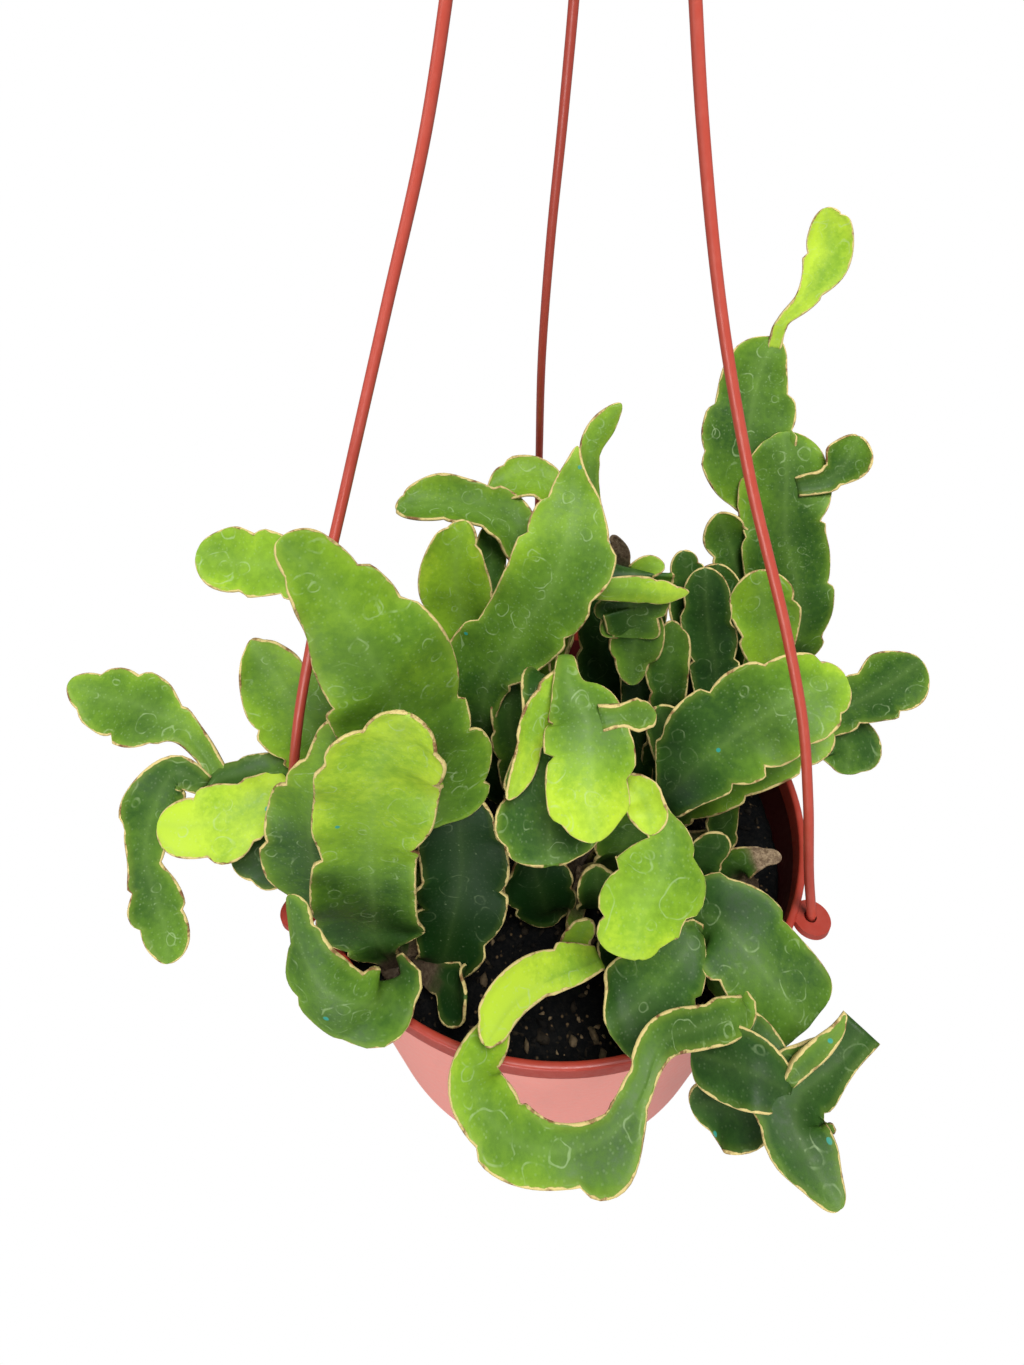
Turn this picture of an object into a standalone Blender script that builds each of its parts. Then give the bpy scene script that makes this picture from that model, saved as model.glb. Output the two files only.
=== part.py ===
"""Orchid cactus with curled leaf-like stems, planted in a plastic hanging pot.

The part's origin is the point inside the top of the hook that rests on whatever
holds it up. +Z is up and -Y is the side that the plant was seen from.
Shapes are worked out in the pot's own frame, in millimetres, with its origin at
the centre of the rim's top edge, and are moved down by HANG when they are made.
"""

import math
from collections import namedtuple

import bmesh
import bpy
import numpy as np
from mathutils import Vector

MM = 0.001
GAP = 0.3
WELD = 0.000002

# Hanging height: from the hook's bearing point down to the rim's top edge.
HANG = 315.0

# Pot: outer radius at the rim, lip, wall and floor.
RIM_R = 76.0
LIP_H = 5.5
WALL_TOP_R = 74.6
WALL_T = 1.5
BASE_R = 61.5
POT_H = 102.0
CORNER = 4.5
FLOOR_T = 1.8
POT_STEPS = 44
DRAIN_R = 3.5
DRAIN_RING_R = 40.0
DRAINS = 6

# Ears: round tabs on the lip that the hanger's strands pass through.
EAR_AZIMUTHS = {"left": 209.0, "right": -31.0, "back": 92.0}
EAR_R = 4.8
EAR_OUT = 79.4
EAR_T = 2.2
EAR_TOP = -0.6

# Hanger: three bowed strands that meet in a hub under the hook.
STRAND_R = 1.2
STRAND_STEPS = 20
STRAND_FOOT = -4.0
STRAND_BOW = [(79, 1), (76.6, 13), (71, 43), (65, 67), (58, 88), (44, 126), (34.5, 158),
              (27, 186), (20.5, 216), (13, 246), (8.2, 267), (7, 276), (7, 281)]
# How far to +X the leaves and the hanging weight push each strand, at the bow's points.
STRAND_LEANS = {"left": (0, -1, -2.5, -3, -3.5, -4, -2.2, 0, 1.2, 0.8, 0, 0, 0),
                "right": (0, -0.5, -1, -0.8, -0.8, -1.3, -1.9, -1.2, -0.6, -0.2, 0, 0, 0),
                "back": (0, 0, 0, 0, -0.3, -0.6, 0.6, 2.4, 3.8, 2.8, 0.7, 0, 0)}
BUTTON_R = 2.5
BUTTON_T = 1.8
HUB_R = 11.0
HUB_T = 3.5
HUB_Z = 277.0
HOOK_WIRE_R = 2.2
HOOK_INNER_R = 9.0
HOOK_END = 205.0
HOOK_STEPS = 20

# Soil: its level below the rim and how rough its top is.
SOIL_Z = -18.0
SOIL_ROUGH = 0.9
SOIL_RINGS = 5
HOLE_Z = -44.0

# Leaf-like stems.
BLADE_T = 1.6
STATION = 11.0
CLOSEST = 3.0
WIDE = 7.5
TIP_SHARES = (1.0, 0.45, 0.12, 0.0)
NOTCH_W = 0.01
CUPPED = 0.3
LOBE_PITCH = 17.0
PITCH_SPREAD = 0.35
LOBE_SWELL = 0.8
LOBE_DROP = 2.5
LOBE_DEPTH = 2.4
LOBE_SHARE = 0.22
LOBE_REST = 0.6
LEAST_LOBE = 0.7
LOBE_SPREAD = 0.6
PHASE_STEP = 0.37
SIDE_PHASE = 0.5
TIP_POWER = 2.4
TIP_SHARE = 0.65
TIP_EXTRA = 1.0
THINNEST = 0.5
ROOT_TOP = -13.0
ROOT_SIDES = 14

# Each leafy stem: where its woody root stands in the soil (x, y, radius), and
# its blades. A blade is its path as (x, y, z, left half-width, right
# half-width), the directions that its face looks to along the path as
# (azimuth from -Y towards +X, elevation), its cup as a share of its half-width,
# where the notches of its left and its right margin are in millimetres along
# it, or none where they follow a rule, and how blunt its tip is. Left and right
# are as seen on that face with the tip upwards.
Blade = namedtuple("Blade", "path faces cup left right blunt", defaults=((), (), 1.0))
STEMS = {
    "leafy_stem_front_left": ((-42, -45, 6.0), {
        "tall": Blade([(-41, -44, -17, 3, 2), (-38, -42, -2, 6, 3), (-36, -40, 15, 8, 2),
                       (-30, -42, 42, 9, 1.5),
                       (-28, -43, 51, 9, 11), (-29, -44, 62, 11, 14), (-31, -46, 74, 13, 12.5),
                       (-34, -46.5, 90, 13, 13.5), (-37, -47, 101, 10.5, 13), (-40, -46.5, 110, 7.5, 9.5),
                       (-43, -46, 117, 6.5, 7.5), (-50, -46, 127, 2.5, 4.5)],
                      [(0, 25), (8, 30), (15, 38)], -0.15, left=(112, 144),
                      right=(72, 90, 100, 127, 137)),
        "broad": Blade([(-43, -46, -17, 2, 2), (-44.5, -47.5, -6, 4, 3), (-45, -49, 1, 8, 4),
                        (-46, -49, 9, 13.5, 13),
                        (-45, -49.5, 18, 13.5, 10.5), (-44, -50, 32, 13.5, 9.8), (-43, -50.5, 43, 12, 10),
                        (-41, -51, 56, 12, 12), (-39, -52, 67, 11.5, 12.2), (-37, -53, 77, 11, 12.5),
                        (-33, -54, 86, 7, 11), (-29.5, -55, 94, 5, 8)],
                       [(5, 25), (5, 25), (10, 35)], 0.12, left=(20, 60, 94, 104),
                       right=(26, 66, 97, 108)),
        "shaded": Blade([(-45, -44, -17, 2, 2), (-49, -41, -3, 4, 4), (-54, -42, 11, 8.5, 8),
                         (-58, -44, 22, 11, 9),
                         (-57, -44, 49, 9.5, 10), (-51, -45, 67, 5, 8), (-46, -46, 82, 2.5, 5)],
                        [(-15, 20), (-10, 25)], 0.2, left=(28, 57, 77, 88)),
        "rim_cup": Blade([(-41, -48, -17, 2, 2), (-38, -57, 4, 4, 4), (-44, -67, 12, 11, 6.5),
                          (-54, -67, 20, 10, 6.5),
                          (-59, -61, 30, 3, 5), (-61, -56, 37, 1.5, 3)], [(-20, 40),
                          (-35, 40)], -0.3),
        "inner": Blade([(-38, -45, -17, 2, 2), (-31, -48, -9, 6, 6), (-27, -45, 5, 9, 11),
                        (-24, -42, 23, 10, 11.5),
                        (-23.5, -40.5, 39, 9, 9.5), (-22.5, -39, 51, 5, 5)], [(0, 30)], 0.2,
                        right=(22, 41, 58)),
        "low": Blade([(-39, -46, -14, 2, 2), (-30, -52, -10, 4, 4), (-25, -57, -6, 7, 7),
                      (-23, -60, -1, 5, 6)],
                     [(0, 60)], 0.1),
    }),
    "leafy_stem_left": ((-46, -17, 5.0), {
        "trailing": Blade([(-46, -18, -17, 3, 3), (-52, -20, 5, 3, 3), (-62, -21, 27, 4, 4),
                           (-71, -22, 36, 4, 4),
                           (-84, -25, 38, 3.5, 3.5), (-93, -27, 36, 2.5, 2.5)], [(-20, 40)], -0.3),
        "side": Blade([(-48, -17, -17, 3, 3), (-50, -22, 10, 6, 6), (-56, -22, 30, 8, 8),
                       (-61, -19, 45, 11, 10),
                       (-67, -16, 58, 12, 10), (-72, -14, 68, 7, 6), (-75, -13, 74, 2, 3)],
                      [(0, 25), (-5, 35)], 0.15),
        "upper": Blade([(-44, -16, -17, 3, 3), (-40, -16, 10, 6, 6), (-40, -16, 30, 7, 7),
                        (-42, -16, 55, 6, 6),
                        (-46, -16, 78, 4, 4), (-57, -14, 93, 5, 5), (-66, -11, 95, 7, 7),
                        (-76, -9, 95, 7.5, 8),
                        (-85, -7, 96.5, 4.5, 5)], [(5, 25), (10, 40)], 0.1),
        "outer": Blade([(-86.5, -25.4, 36.6, 2.5, 2.5), (-92, -20, 42, 2.5, 3), (-98, -16, 47, 4.5, 4),
                        (-104, -14, 49, 9, 7),
                        (-110, -12, 50.5, 10, 8), (-121, -10, 52, 7, 6.5), (-129, -8, 54.5, 2.5, 3)],
                       [(10, 50)], 0.1, left=(22, 34, 45), right=(20, 33, 44)),
        "hanging": Blade([(-90, -27, 37, 2.5, 2.5), (-96, -27, 42, 4, 4), (-102, -31, 34, 8, 7.5),
                          (-104, -39, 23, 4, 4), (-100, -46, 15, 6, 7), (-98, -50, 10, 6, 6),
                          (-97, -55, 5, 4, 2.5)],
                         [(20, 50), (10, 40)], 0.15, left=(14, 33, 46), right=(24, 38, 47)),
        "bright": Blade([(-71, -23, 35, 3, 3), (-76, -30, 35, 6, 6), (-82, -34, 34, 10, 8),
                         (-90, -36, 33, 8, 8),
                         (-99.5, -36, 34, 4.5, 5)], [(10, 55)], 0.1, left=(13, 21), right=(10, 25)),
        "notched": Blade([(-60, -21, 22, 3, 3), (-69, -26, 19, 6, 5), (-76, -32, 18, 9.5, 8),
                          (-84, -37, 18, 6, 5)],
                         [(0, 45)], 0.1),
        "rear": Blade([(-47, -12, -16, 3, 3), (-53, 2, 2, 6, 6), (-58, 16, 16, 8, 8), (-62, 28, 24, 7, 7),
                       (-66, 38, 26, 3, 3)], [(180, 60), (180, 40)], 0.2),
    }),
    "leafy_stem_back_left": ((-12, 8, 6.0), {
        "diagonal": Blade([(-13, 6, -17, 3, 3), (-16, 0, 2, 6, 5), (-18, -3, 20, 8, 6),
                           (-19, -8, 44, 10, 4),
                           (-17, -7, 54, 13, 6), (-13, -6, 61, 13, 8), (-8, -4.5, 70, 11, 10.5),
                           (-2, -3, 79, 11.5, 11),
                           (3, 3, 91, 11, 12), (4.5, 10, 97, 8, 8), (5, 15, 102, 4.5, 4.5),
                           (5.5, 17, 106, 2.2, 2.2),
                           (6.3, 19.5, 109.5, 0.6, 0.6)], [(0, 30), (-5, 40), (-15, 40)], 0.1,
                          left=(62, 86, 117, 128), right=(75, 97, 106, 118)),
        "diagonal_tip": Blade([(12, 12, 91, 1, 1), (10, 16.5, 98, 2, 2), (9.5, 19, 104, 3, 3),
                               (10.5, 21.5, 109, 3.6, 3.6),
                               (13.5, 23.5, 113.5, 3.3, 3.3), (17.5, 25.5, 118.5, 1, 1)], [(25, 25)], -0.2,
                              left=(14,), right=(17,)),
        "level": Blade([(-10, 9, -17, 3, 3), (-7, 14, 10, 6, 6), (-6, 18, 40, 6, 6), (-6, 25, 68, 6, 6),
                        (-13, 29, 79, 8, 8), (-28, 29, 85, 8, 8), (-43, 25, 87, 5, 5)],
                       [(0, 30), (0, 80), (0, 70)], 0.5),
        "arched": Blade([(-9, 8, -17, 3, 3), (-4, 16, 15, 6, 6), (2, 25, 50, 6, 6), (7, 38, 73, 5, 5),
                         (0, 42, 83, 7, 7),
                         (-8, 43, 84, 8, 8), (-18, 41, 83, 4, 4)], [(0, 30), (0, 75), (0, 70)], 0.4),
        "upright": Blade([(-14, 8, -17, 3, 3), (-18, 6, 10, 6, 6), (-22, 4, 36, 7, 7), (-24, 8, 56, 10, 9),
                          (-26, 10, 73, 10, 9), (-25, 13, 84, 6.5, 6), (-23, 15, 90, 3.5, 3.5)],
                         [(0, 30)], 0.2),
        "dark": Blade([(-12, 10, -17, 3, 3), (-16, 10, 10, 6, 6), (-19, 11, 40, 6, 6), (-18, 18, 58, 6, 6),
                       (-17, 24, 71, 5, 4.5), (-17, 28, 80, 3, 3)], [(10, 30)], 0.2),
        "young": Blade([(-12, 3, -16, 3, 3), (-10, -6, 4, 4, 4), (-10, -9, 20, 5, 5), (-12, -8, 43, 5, 5.5),
                        (-12, -5, 56, 3, 3)], [(0, 30)], 0.2),
        "rear_left": Blade([(-14, 10, -16, 4, 4), (-17, 18, 0, 5, 5), (-23, 30, 9, 7, 7),
                            (-30, 43, 20, 9, 9), (-37, 57, 27, 7, 7),
                            (-42, 67, 27, 3, 3)], [(180, 60), (180, 40)], 0.2),
        "rear_right": Blade([(-9, 10, -16, 4, 4), (-6, 19, 0, 5, 5), (-1, 32, 8, 7, 7),
                             (3, 46, 18, 9, 9), (5, 59, 25, 8, 7),
                             (4, 69, 26, 3, 3)], [(180, 60), (180, 40)], 0.2),
    }),
    "leafy_stem_centre": ((10, -15, 6.0), {
        "folded": Blade([(10, -13, -17, 3, 3), (8, -12, 8, 6, 5), (6, -12, 30, 6, 6), (2, -13, 55, 6, 6),
                         (-1, -19.5, 65, 7, 7), (0, -25.5, 60, 8, 8), (0, -32, 53, 10, 10),
                         (-1.5, -39, 47, 11.5, 11.5),
                         (-2.5, -45, 42, 11.5, 11.5), (-2, -50, 38, 8, 8)],
                        [(180, 20), (180, 20), (180, 30), (180, 60), (0, 75), (0, 45), (0, 40)], 0.1,
                        right=(95, 112, 121, 127), left=(104, 118, 125), blunt=1.5),
        "folded_edge": Blade([(2, -20, 71, 2, 1), (-2.5, -26, 68, 4, 3.5), (-6.5, -33, 61.5, 4, 3.8),
                              (-9, -39, 56, 3, 3),
                              (-12, -43.5, 53, 1, 1)], [(45, 45)], 0.1, right=(8, 20)),
        "spotted": Blade([(2, -13, 62, 2, 2), (2, -20, 73, 2, 2), (2.5, -27.5, 72, 4, 4),
                          (4.5, -31, 70.5, 7.5, 7.5),
                          (6, -34.5, 69, 8.3, 8.3), (6, -38, 67, 9.3, 9.3), (6.5, -42, 64.5, 9.5, 9.5),
                          (6, -46.5, 61, 8.7, 8.7), (6, -51, 57.5, 7.7, 7.7), (7, -55, 54.5, 5, 5)],
                         [(180, 60), (0, 70), (5, 60), (5, 55)], -0.2, left=(40, 54), right=(26, 36, 50)),
        "spotted_flap": Blade([(9, -34, 68.5, 3, 3), (14, -33, 68.5, 2.5, 2.5), (17.5, -32, 67.5, 3.6, 3.6),
                               (20.5, -31, 66.5, 3, 3), (22.5, -30, 66, 1, 1)], [(10, 50)], 0.3),
        "drooping": Blade([(12, -15.5, -17, 2.5, 2.5), (18, -28, 20, 4, 4), (20, -34, 44, 3, 3),
                           (21.5, -41, 51, 2, 2),
                           (23, -45.5, 50, 2, 2), (24, -49, 47, 5, 5), (23, -53, 44.5, 8, 8),
                           (21.5, -56.5, 41.5, 9.7, 9.7),
                           (18, -60, 38, 9, 9), (16, -63.5, 34.5, 8.5, 8.5), (16, -67, 31, 6, 6)],
                          [(180, 20), (180, 20), (180, 30), (180, 60), (0, 80), (0, 55), (0, 45)], -0.3,
                          left=(86, 96, 108), right=(84, 97, 104, 110), blunt=1.4),
        "drooping_curl": Blade([(15.5, -36, 50, 1, 1), (17.5, -39, 51.5, 3, 3),
                                (19.5, -41.5, 50.5, 4.2, 4.2),
                                (20, -44.5, 49.5, 4.5, 4.5),
                                (20, -48.5, 47, 2.5, 2.5)], [(-20, 50)], 0.2),
        "behind_drooping": Blade([(12, -17, -17, 3, 3), (16, -31, 10, 5, 5), (17, -37, 28, 7, 7),
                                  (19, -39, 40, 6, 6),
                                  (21, -41, 48, 3, 3)], [(0, 40)], 0.3),
        "small": Blade([(11, -18, -16, 3, 3), (11, -34, -7, 4, 4), (11, -39, 8, 5.5, 5.5),
                        (10, -38, 19, 4, 4)],
                       [(0, 35)], 0.2),
        "low_left": Blade([(7, -18, -14.5, 3, 3), (-1, -34, -9, 5, 5), (-4, -37, 6, 9, 9),
                           (-7, -35, 20, 6, 6)],
                          [(0, 35)], 0.15),
        "low_right": Blade([(13, -19, -16, 3, 3), (20, -38, -11, 4, 4), (18, -46, -8, 6, 6),
                            (11, -46, -2, 5, 5)],
                           [(0, 60)], 0.1),
        "tip": Blade([(9.5, -19, -13.5, 2, 2), (4.5, -42, -11, 3, 3), (4, -47, -3, 4, 4),
                      (8, -47, 10, 2.5, 2.5)],
                     [(0, 45)], 0.1),
    }),
    "leafy_stem_right": ((29, -4, 6.0), {
        "curled_lip": Blade([(27, -3, -17, 4, 4), (27, 4, 20, 5, 5), (26, 10, 45, 6, 6), (24, 12, 65, 8, 8),
                             (22, 10, 76, 9, 9), (21, 6, 79, 10, 10), (21, 4, 74, 9.5, 9.5),
                             (20.5, 3, 67, 8.7, 8.7),
                             (20.5, 2, 60, 8, 8)],
                            [(180, 20), (180, 20), (180, 20), (180, 20), (180, 45), (0, 80),
                            (0, 25)], 0.1, right=(108, 114),
                            left=(112,), blunt=2.0),
        "lip": Blade([(10.5, 0.5, 78, 2, 2.5), (19.5, 0, 78.5, 3, 3.5), (28.5, 0.5, 76.5, 3, 3),
                      (35, 1.5, 76, 0.8, 0.8)],
                     [(0, 20)], -0.2, left=(15, 21)),
        "lip_top": Blade([(22, 8, 77, 3, 3), (25, 7, 80, 3, 3), (29, 6, 81, 2, 2)], [(0, 40)], 0.1),
        "lip_lobe": Blade([(20.5, 3, 70, 7, 7), (22.5, 2.5, 61, 7, 7), (22, 1.5, 52, 5.5, 5.5),
                           (22.5, -0.5, 44.5, 2, 2)],
                          [(0, 30)], 0.1, right=(8, 17)),
        "wide": Blade([(29, -6, -17, 3, 3), (27, -18, 10, 4, 4), (29, -27, 33, 3.5, 6),
                       (37, -26, 45, 13, 9),
                       (48, -23, 54, 13, 11), (61, -19, 60, 10, 10), (73, -15, 61, 5, 6)],
                      [(0, 30), (0, 50), (10, 50)], 0.2, left=(66, 80, 93, 105),
                      right=(70, 80, 91, 104)),
        "under": Blade([(31, -5, -17, 3, 3), (37, -17, 12, 4, 4), (44, -21, 28, 7, 6), (52, -21, 35, 8, 6),
                        (64, -18, 41, 6, 6), (73, -15, 43, 3, 4)], [(0, 60)], 0.1),
        "wedge": Blade([(33, -7, -16, 2, 2), (50, -16, -3, 4, 4), (48, -15, 14, 5, 5), (51, -15, 25, 3, 3)],
                       [(0, 45)], 0.1),
        "outer": Blade([(31, -2, -17, 3, 3), (43, 0, -2, 4, 4), (55, 1, 10, 5, 5), (74, 3, 26, 6, 6),
                        (84, 2, 32, 6.5, 6.5),
                        (89, 2, 36, 7, 7), (96, 3, 41, 9, 9), (104, 5, 48, 5, 6)], [(0, 45)], 0.1),
        "outer_low": Blade([(74, 3, 26, 3, 3), (84, 0, 24, 7, 9), (87, -3, 20, 9, 11), (86, -7, 14, 6, 8)],
                           [(0, 50)], 0.1),
        "behind_lip": Blade([(29, -2, -16, 3, 3), (33, 2, 8, 5, 5), (34, 1, 28, 6, 6),
                             (33, 0, 39, 5.5, 5.5),
                             (32, 2, 48, 5.5, 5.5), (33, 5, 56, 4.7, 4.7),
                             (33, 7, 61.5, 3, 3)], [(0, 30)], 0.2),
        "shadow": Blade([(27, 1, -16, 3, 3), (20, 14, 10, 7, 7), (16, 20, 35, 7, 7), (17, 24, 52, 7.5, 7.5),
                         (18.5, 28, 62, 6, 6), (20.5, 27, 70, 3, 3),
                         (17.5, 26, 77, 1.2, 1.2)], [(0, 30)], 0.15),
        "beside_lip": Blade([(28, -7, -16, 3, 3), (34, -9, 4, 4, 4), (37, -9, 15, 5, 5), (34, -8, 28, 6, 6),
                             (29, -5, 41, 5, 5)], [(0, 35)], 0.2),
        "below_wide": Blade([(30, -9, -16, 2, 2), (39, -28, -7, 3, 3), (40, -29, 5, 5, 5),
                             (46, -27, 15, 4, 4)],
                            [(0, 40)], 0.1),
        "rear": Blade([(30, 0, -16, 4, 4), (31, 16, 5, 7, 7), (28, 32, 20, 8, 8), (23, 46, 28, 7, 7),
                       (19, 56, 29, 3, 3)], [(180, 60), (180, 40)], 0.2),
    }),
    "leafy_stem_back_right": ((52, 26, 6.0), {
        "large": Blade([(54, 27, -17, 3, 3), (60, 27, 1, 4, 4), (68, 28, 13, 4, 4), (76, 30, 24, 6, 6),
                        (79, 29, 34, 9, 7.5), (77, 34, 52, 14, 11), (73, 41, 68, 13, 11),
                        (73, 50, 84, 12, 12.5),
                        (72, 56, 94, 7, 8)], [(-10, 30), (-15, 30)], -0.1,
                        right=(40, 60, 75, 97, 110)),
        "curl": Blade([(76, 47, 80, 3, 3), (86, 47, 83, 4, 4), (89.5, 48, 87, 6.5, 6),
                       (93, 51, 95, 4.5, 4.5)],
                      [(-20, 30)], 0.4),
        "flap": Blade([(52, 27, -17, 3, 3), (56, 32, 5, 5, 5), (60, 36, 24, 6, 6), (60, 42, 54, 6, 6),
                       (56, 45, 64, 7, 7), (53, 46, 71, 5, 5)], [(-10, 30)], 0.2),
        "second": Blade([(53, 28, -17, 3, 3), (60, 33, 8, 6, 6), (66, 38, 30, 7, 7), (70, 44, 60, 6, 6),
                         (68, 50, 73, 10, 10), (63, 57, 87, 14, 13), (64, 64, 101, 12, 12),
                         (67, 69, 112, 9, 7),
                         (71, 72, 118, 3, 3)], [(-10, 25), (-15, 20)], 0.1, left=(92, 112, 124),
                         right=(104, 118, 130)),
        "top": Blade([(70, 71, 115, 2, 2), (71, 72, 122, 2, 2), (77, 73, 130, 2.7, 3.6),
                      (82.5, 76, 139, 6.5, 6),
                      (83, 79, 147, 5.8, 5.8), (81, 81, 154, 4, 4)], [(-15, 15)], 0.1),
        "bright": Blade([(53, 24, -17, 3, 3), (58, 21, 2, 5, 5), (60, 18, 20, 5, 5), (64, 9, 40, 5, 5),
                         (62, 10, 50, 7, 7), (60, 13, 60, 9, 9),
                         (58, 17, 71, 7, 7)], [(-10, 30)], 0.15),
        "slim": Blade([(50, 25, -17, 3, 3), (51, 19, 0, 4, 4), (51, 14, 15, 5, 5), (50, 5, 28, 6, 6),
                       (48, 9, 41, 7, 6.5), (45, 15, 56, 7, 7),
                       (44, 21, 69, 5, 5)], [(-10, 30)], 0.15),
        "slim_dark": Blade([(50, 27, -16, 3, 3), (47, 22.5, 2, 4, 4), (46, 18, 20, 5, 5),
                            (42, 18, 44, 6, 6),
                            (41, 24, 60, 5.5, 5.5), (39, 28, 70, 4, 4)], [(-5, 30)], 0.15),
        "right_back": Blade([(52, 22, -16, 3, 3), (54, 17, 5, 6, 6), (52, 18, 28, 7.5, 7.5),
                             (51.5, 23.5, 39, 8.5, 8.5),
                             (51, 30, 49.5, 9, 9), (52, 34.5, 60, 6, 6)], [(-5, 30)], 0.15),
        "rear": Blade([(51, 30, -16, 3, 3), (46, 41, 4, 7, 7), (40, 52, 18, 9, 8), (35, 61, 25, 6, 6),
                       (32, 68, 26, 3, 3)], [(180, 60), (180, 40)], 0.2),
    }),
    "leafy_stem_front": ((35, -45, 6.0), {
        "ribbon": Blade([(35, -47, -17, 3, 3), (37, -55, -1, 3, 3), (41, -64, 7, 3, 3), (41, -69, 12, 3, 3),
                         (36, -72, 15, 4, 4), (30, -74, 17, 4, 4), (19, -80, 22, 3, 4), (15, -87, 20, 2, 4),
                         (12, -90.5, 19, 4, 3.5), (7, -94, 18.5, 7.5, 3.6), (-2, -96.5, 19, 5.5, 4.2),
                         (-13, -93, 17.5, 6, 6.5),
                         (-19, -85, 17, 5.5, 5.5), (-18, -78, 15, 4, 5), (-13, -72, 13, 3, 3)],
                        [(0, 60), (0, 40), (0, 60), (0, 60), (0, 60), (0, 65),
                         (0, 75)], 0.1, left=(74, 90, 107)),
        "arm": Blade([(9.5, -56.5, 9, 2.5, 3), (4, -60, 12, 2.8, 5.5), (-3, -64, 15, 2.8, 6.5),
                      (-11, -70, 18, 2.8, 6),
                      (-17, -79, 20, 2.8, 4.5)], [(0, 75), (0, 60), (0, 55)], 0.1,
                     right=(12, 34)),
        "flat": Blade([(37, -43, -17, 3, 3), (36.5, -42, -3, 4, 4), (33.5, -47, 12, 6, 5),
                       (39, -51, 16, 11.5, 9),
                       (44, -57, 15, 13, 10.5), (49.5, -63, 11.5, 12.5, 10.5),
                       (56, -69.5, 6, 10.5, 10.5)], [(0, 60)], -0.15,
                      left=(37, 47), right=(34, 46), blunt=2.2),
        "rim_fan": Blade([(33, -46, -17, 3, 3), (34, -48.5, 0, 3, 3), (32.5, -53, 15, 3, 3),
                          (28.5, -58, 12.5, 7, 8),
                          (21, -63, 7.5, 12, 11), (14.5, -67, 4.5, 11.5, 8.5),
                          (10.5, -69, 4.5, 6, 6)], [(-15, 60)], 0.1),
        "star_stalk": Blade([(40, -67, 7, 2.5, 2.5), (44, -72, 9, 3, 3), (47, -78, 8.5, 3, 3),
                             (49, -83, 7, 3, 3)],
                            [(0, 60)], 0.1),
        "star_down": Blade([(65, -74, 15.5, 4.3, 4.3), (60.5, -77.5, 12, 3.3, 4.5),
                            (55, -80.5, 9.5, 5.2, 6.5),
                            (49, -84, 7, 7.7, 7.7), (47.5, -89, 6, 8.2, 8), (49.5, -93.5, 5, 6.5, 6.3),
                            (51, -97, 4.5, 4.2, 4),
                            (53, -101, 4, 2, 2)], [(0, 60)], -0.1, right=(25,), blunt=1.3),
        "star_point": Blade([(48, -81, 8, 1.5, 1.5), (51, -79.5, 13.5, 2, 2), (54.5, -78, 17, 2, 2),
                             (57.5, -76.5, 21, 1.3, 1.3),
                             (59, -75, 24.5, 0.6, 0.6)], [(-20, 40)], 0.1),
        "star_left": Blade([(48, -83, 7.5, 5, 5), (41, -80, 9.5, 6.7, 6.7), (35, -77, 7.5, 6.7, 6.7),
                            (29, -74, 5, 5, 5)],
                           [(0, 60)], 0.1, blunt=1.5),
        "star_back": Blade([(49, -83, 5, 3, 3), (46, -82, 0, 5.5, 5.5), (40.5, -81.5, -3, 7.5, 6),
                            (34.5, -79.5, -7, 7.5, 6),
                            (29.5, -79.5, -10, 4.5, 4.5)], [(0, 60)], 0.2),
    }),
    "cut_stem": ((57, -24, 3.5), {
        "cut": Blade([(57, -24, -17, 2, 2), (52, -24, -10, 4, 4), (52.5, -24.5, -2.5, 4.8, 4.8),
                      (56.5, -25, 1, 3.3, 3.3),
                      (64, -25.5, 2.5, 1.8, 1.8)], [(0, 45)], 0.1),
    }),
}


def material(name, colour, roughness):
    """A plain surface of one colour."""
    mat = bpy.data.materials.new(name)
    mat.use_nodes = True
    shader = mat.node_tree.nodes["Principled BSDF"]
    shader.inputs["Base Color"].default_value = (*colour, 1.0)
    shader.inputs["Roughness"].default_value = roughness
    shader.inputs["Metallic"].default_value = 0.0
    return mat


def world(x, y, z):
    """A point of the pot's frame in millimetres as a point of the part in metres."""
    return Vector((x, y, z - HANG)) * MM


def add_object(name, mesh, collection, mat=None):
    obj = bpy.data.objects.new(name, mesh)
    collection.objects.link(obj)
    if mat:
        obj.data.materials.clear()
        obj.data.materials.append(mat)
    return obj


def apply_modifiers(obj):
    """Keeps the shape that the object's modifiers make as its own mesh."""
    bpy.context.view_layer.update()
    depsgraph = bpy.context.evaluated_depsgraph_get()
    mesh = bpy.data.meshes.new_from_object(obj.evaluated_get(depsgraph))
    obj.modifiers.clear()
    obj.data = mesh


def boolean(obj, others, operation, solver="EXACT"):
    """Joins or cuts obj with the objects of a collection, then removes them."""
    cut = obj.modifiers.new("shape", "BOOLEAN")
    cut.operation = operation
    cut.operand_type = "COLLECTION"
    cut.collection = others
    cut.solver = solver
    apply_modifiers(obj)
    for other in list(others.objects):
        bpy.data.objects.remove(other, do_unlink=True)


def shells(bm):
    """The faces of each connected surface of a mesh."""
    left = set(bm.faces)
    while left:
        shell, open_faces = set(), [left.pop()]
        while open_faces:
            face = open_faces.pop()
            shell.add(face)
            near = {other for edge in face.edges for other in edge.link_faces} & left
            left -= near
            open_faces += near
        yield shell


def volume(faces):
    """The volume that a closed surface holds, negative where it faces inwards."""
    total = 0.0
    for face in faces:
        first, *rest = [vert.co for vert in face.verts]
        total += sum(first.dot(b.cross(c)) / 6 for b, c in zip(rest, rest[1:]))
    return total


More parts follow.
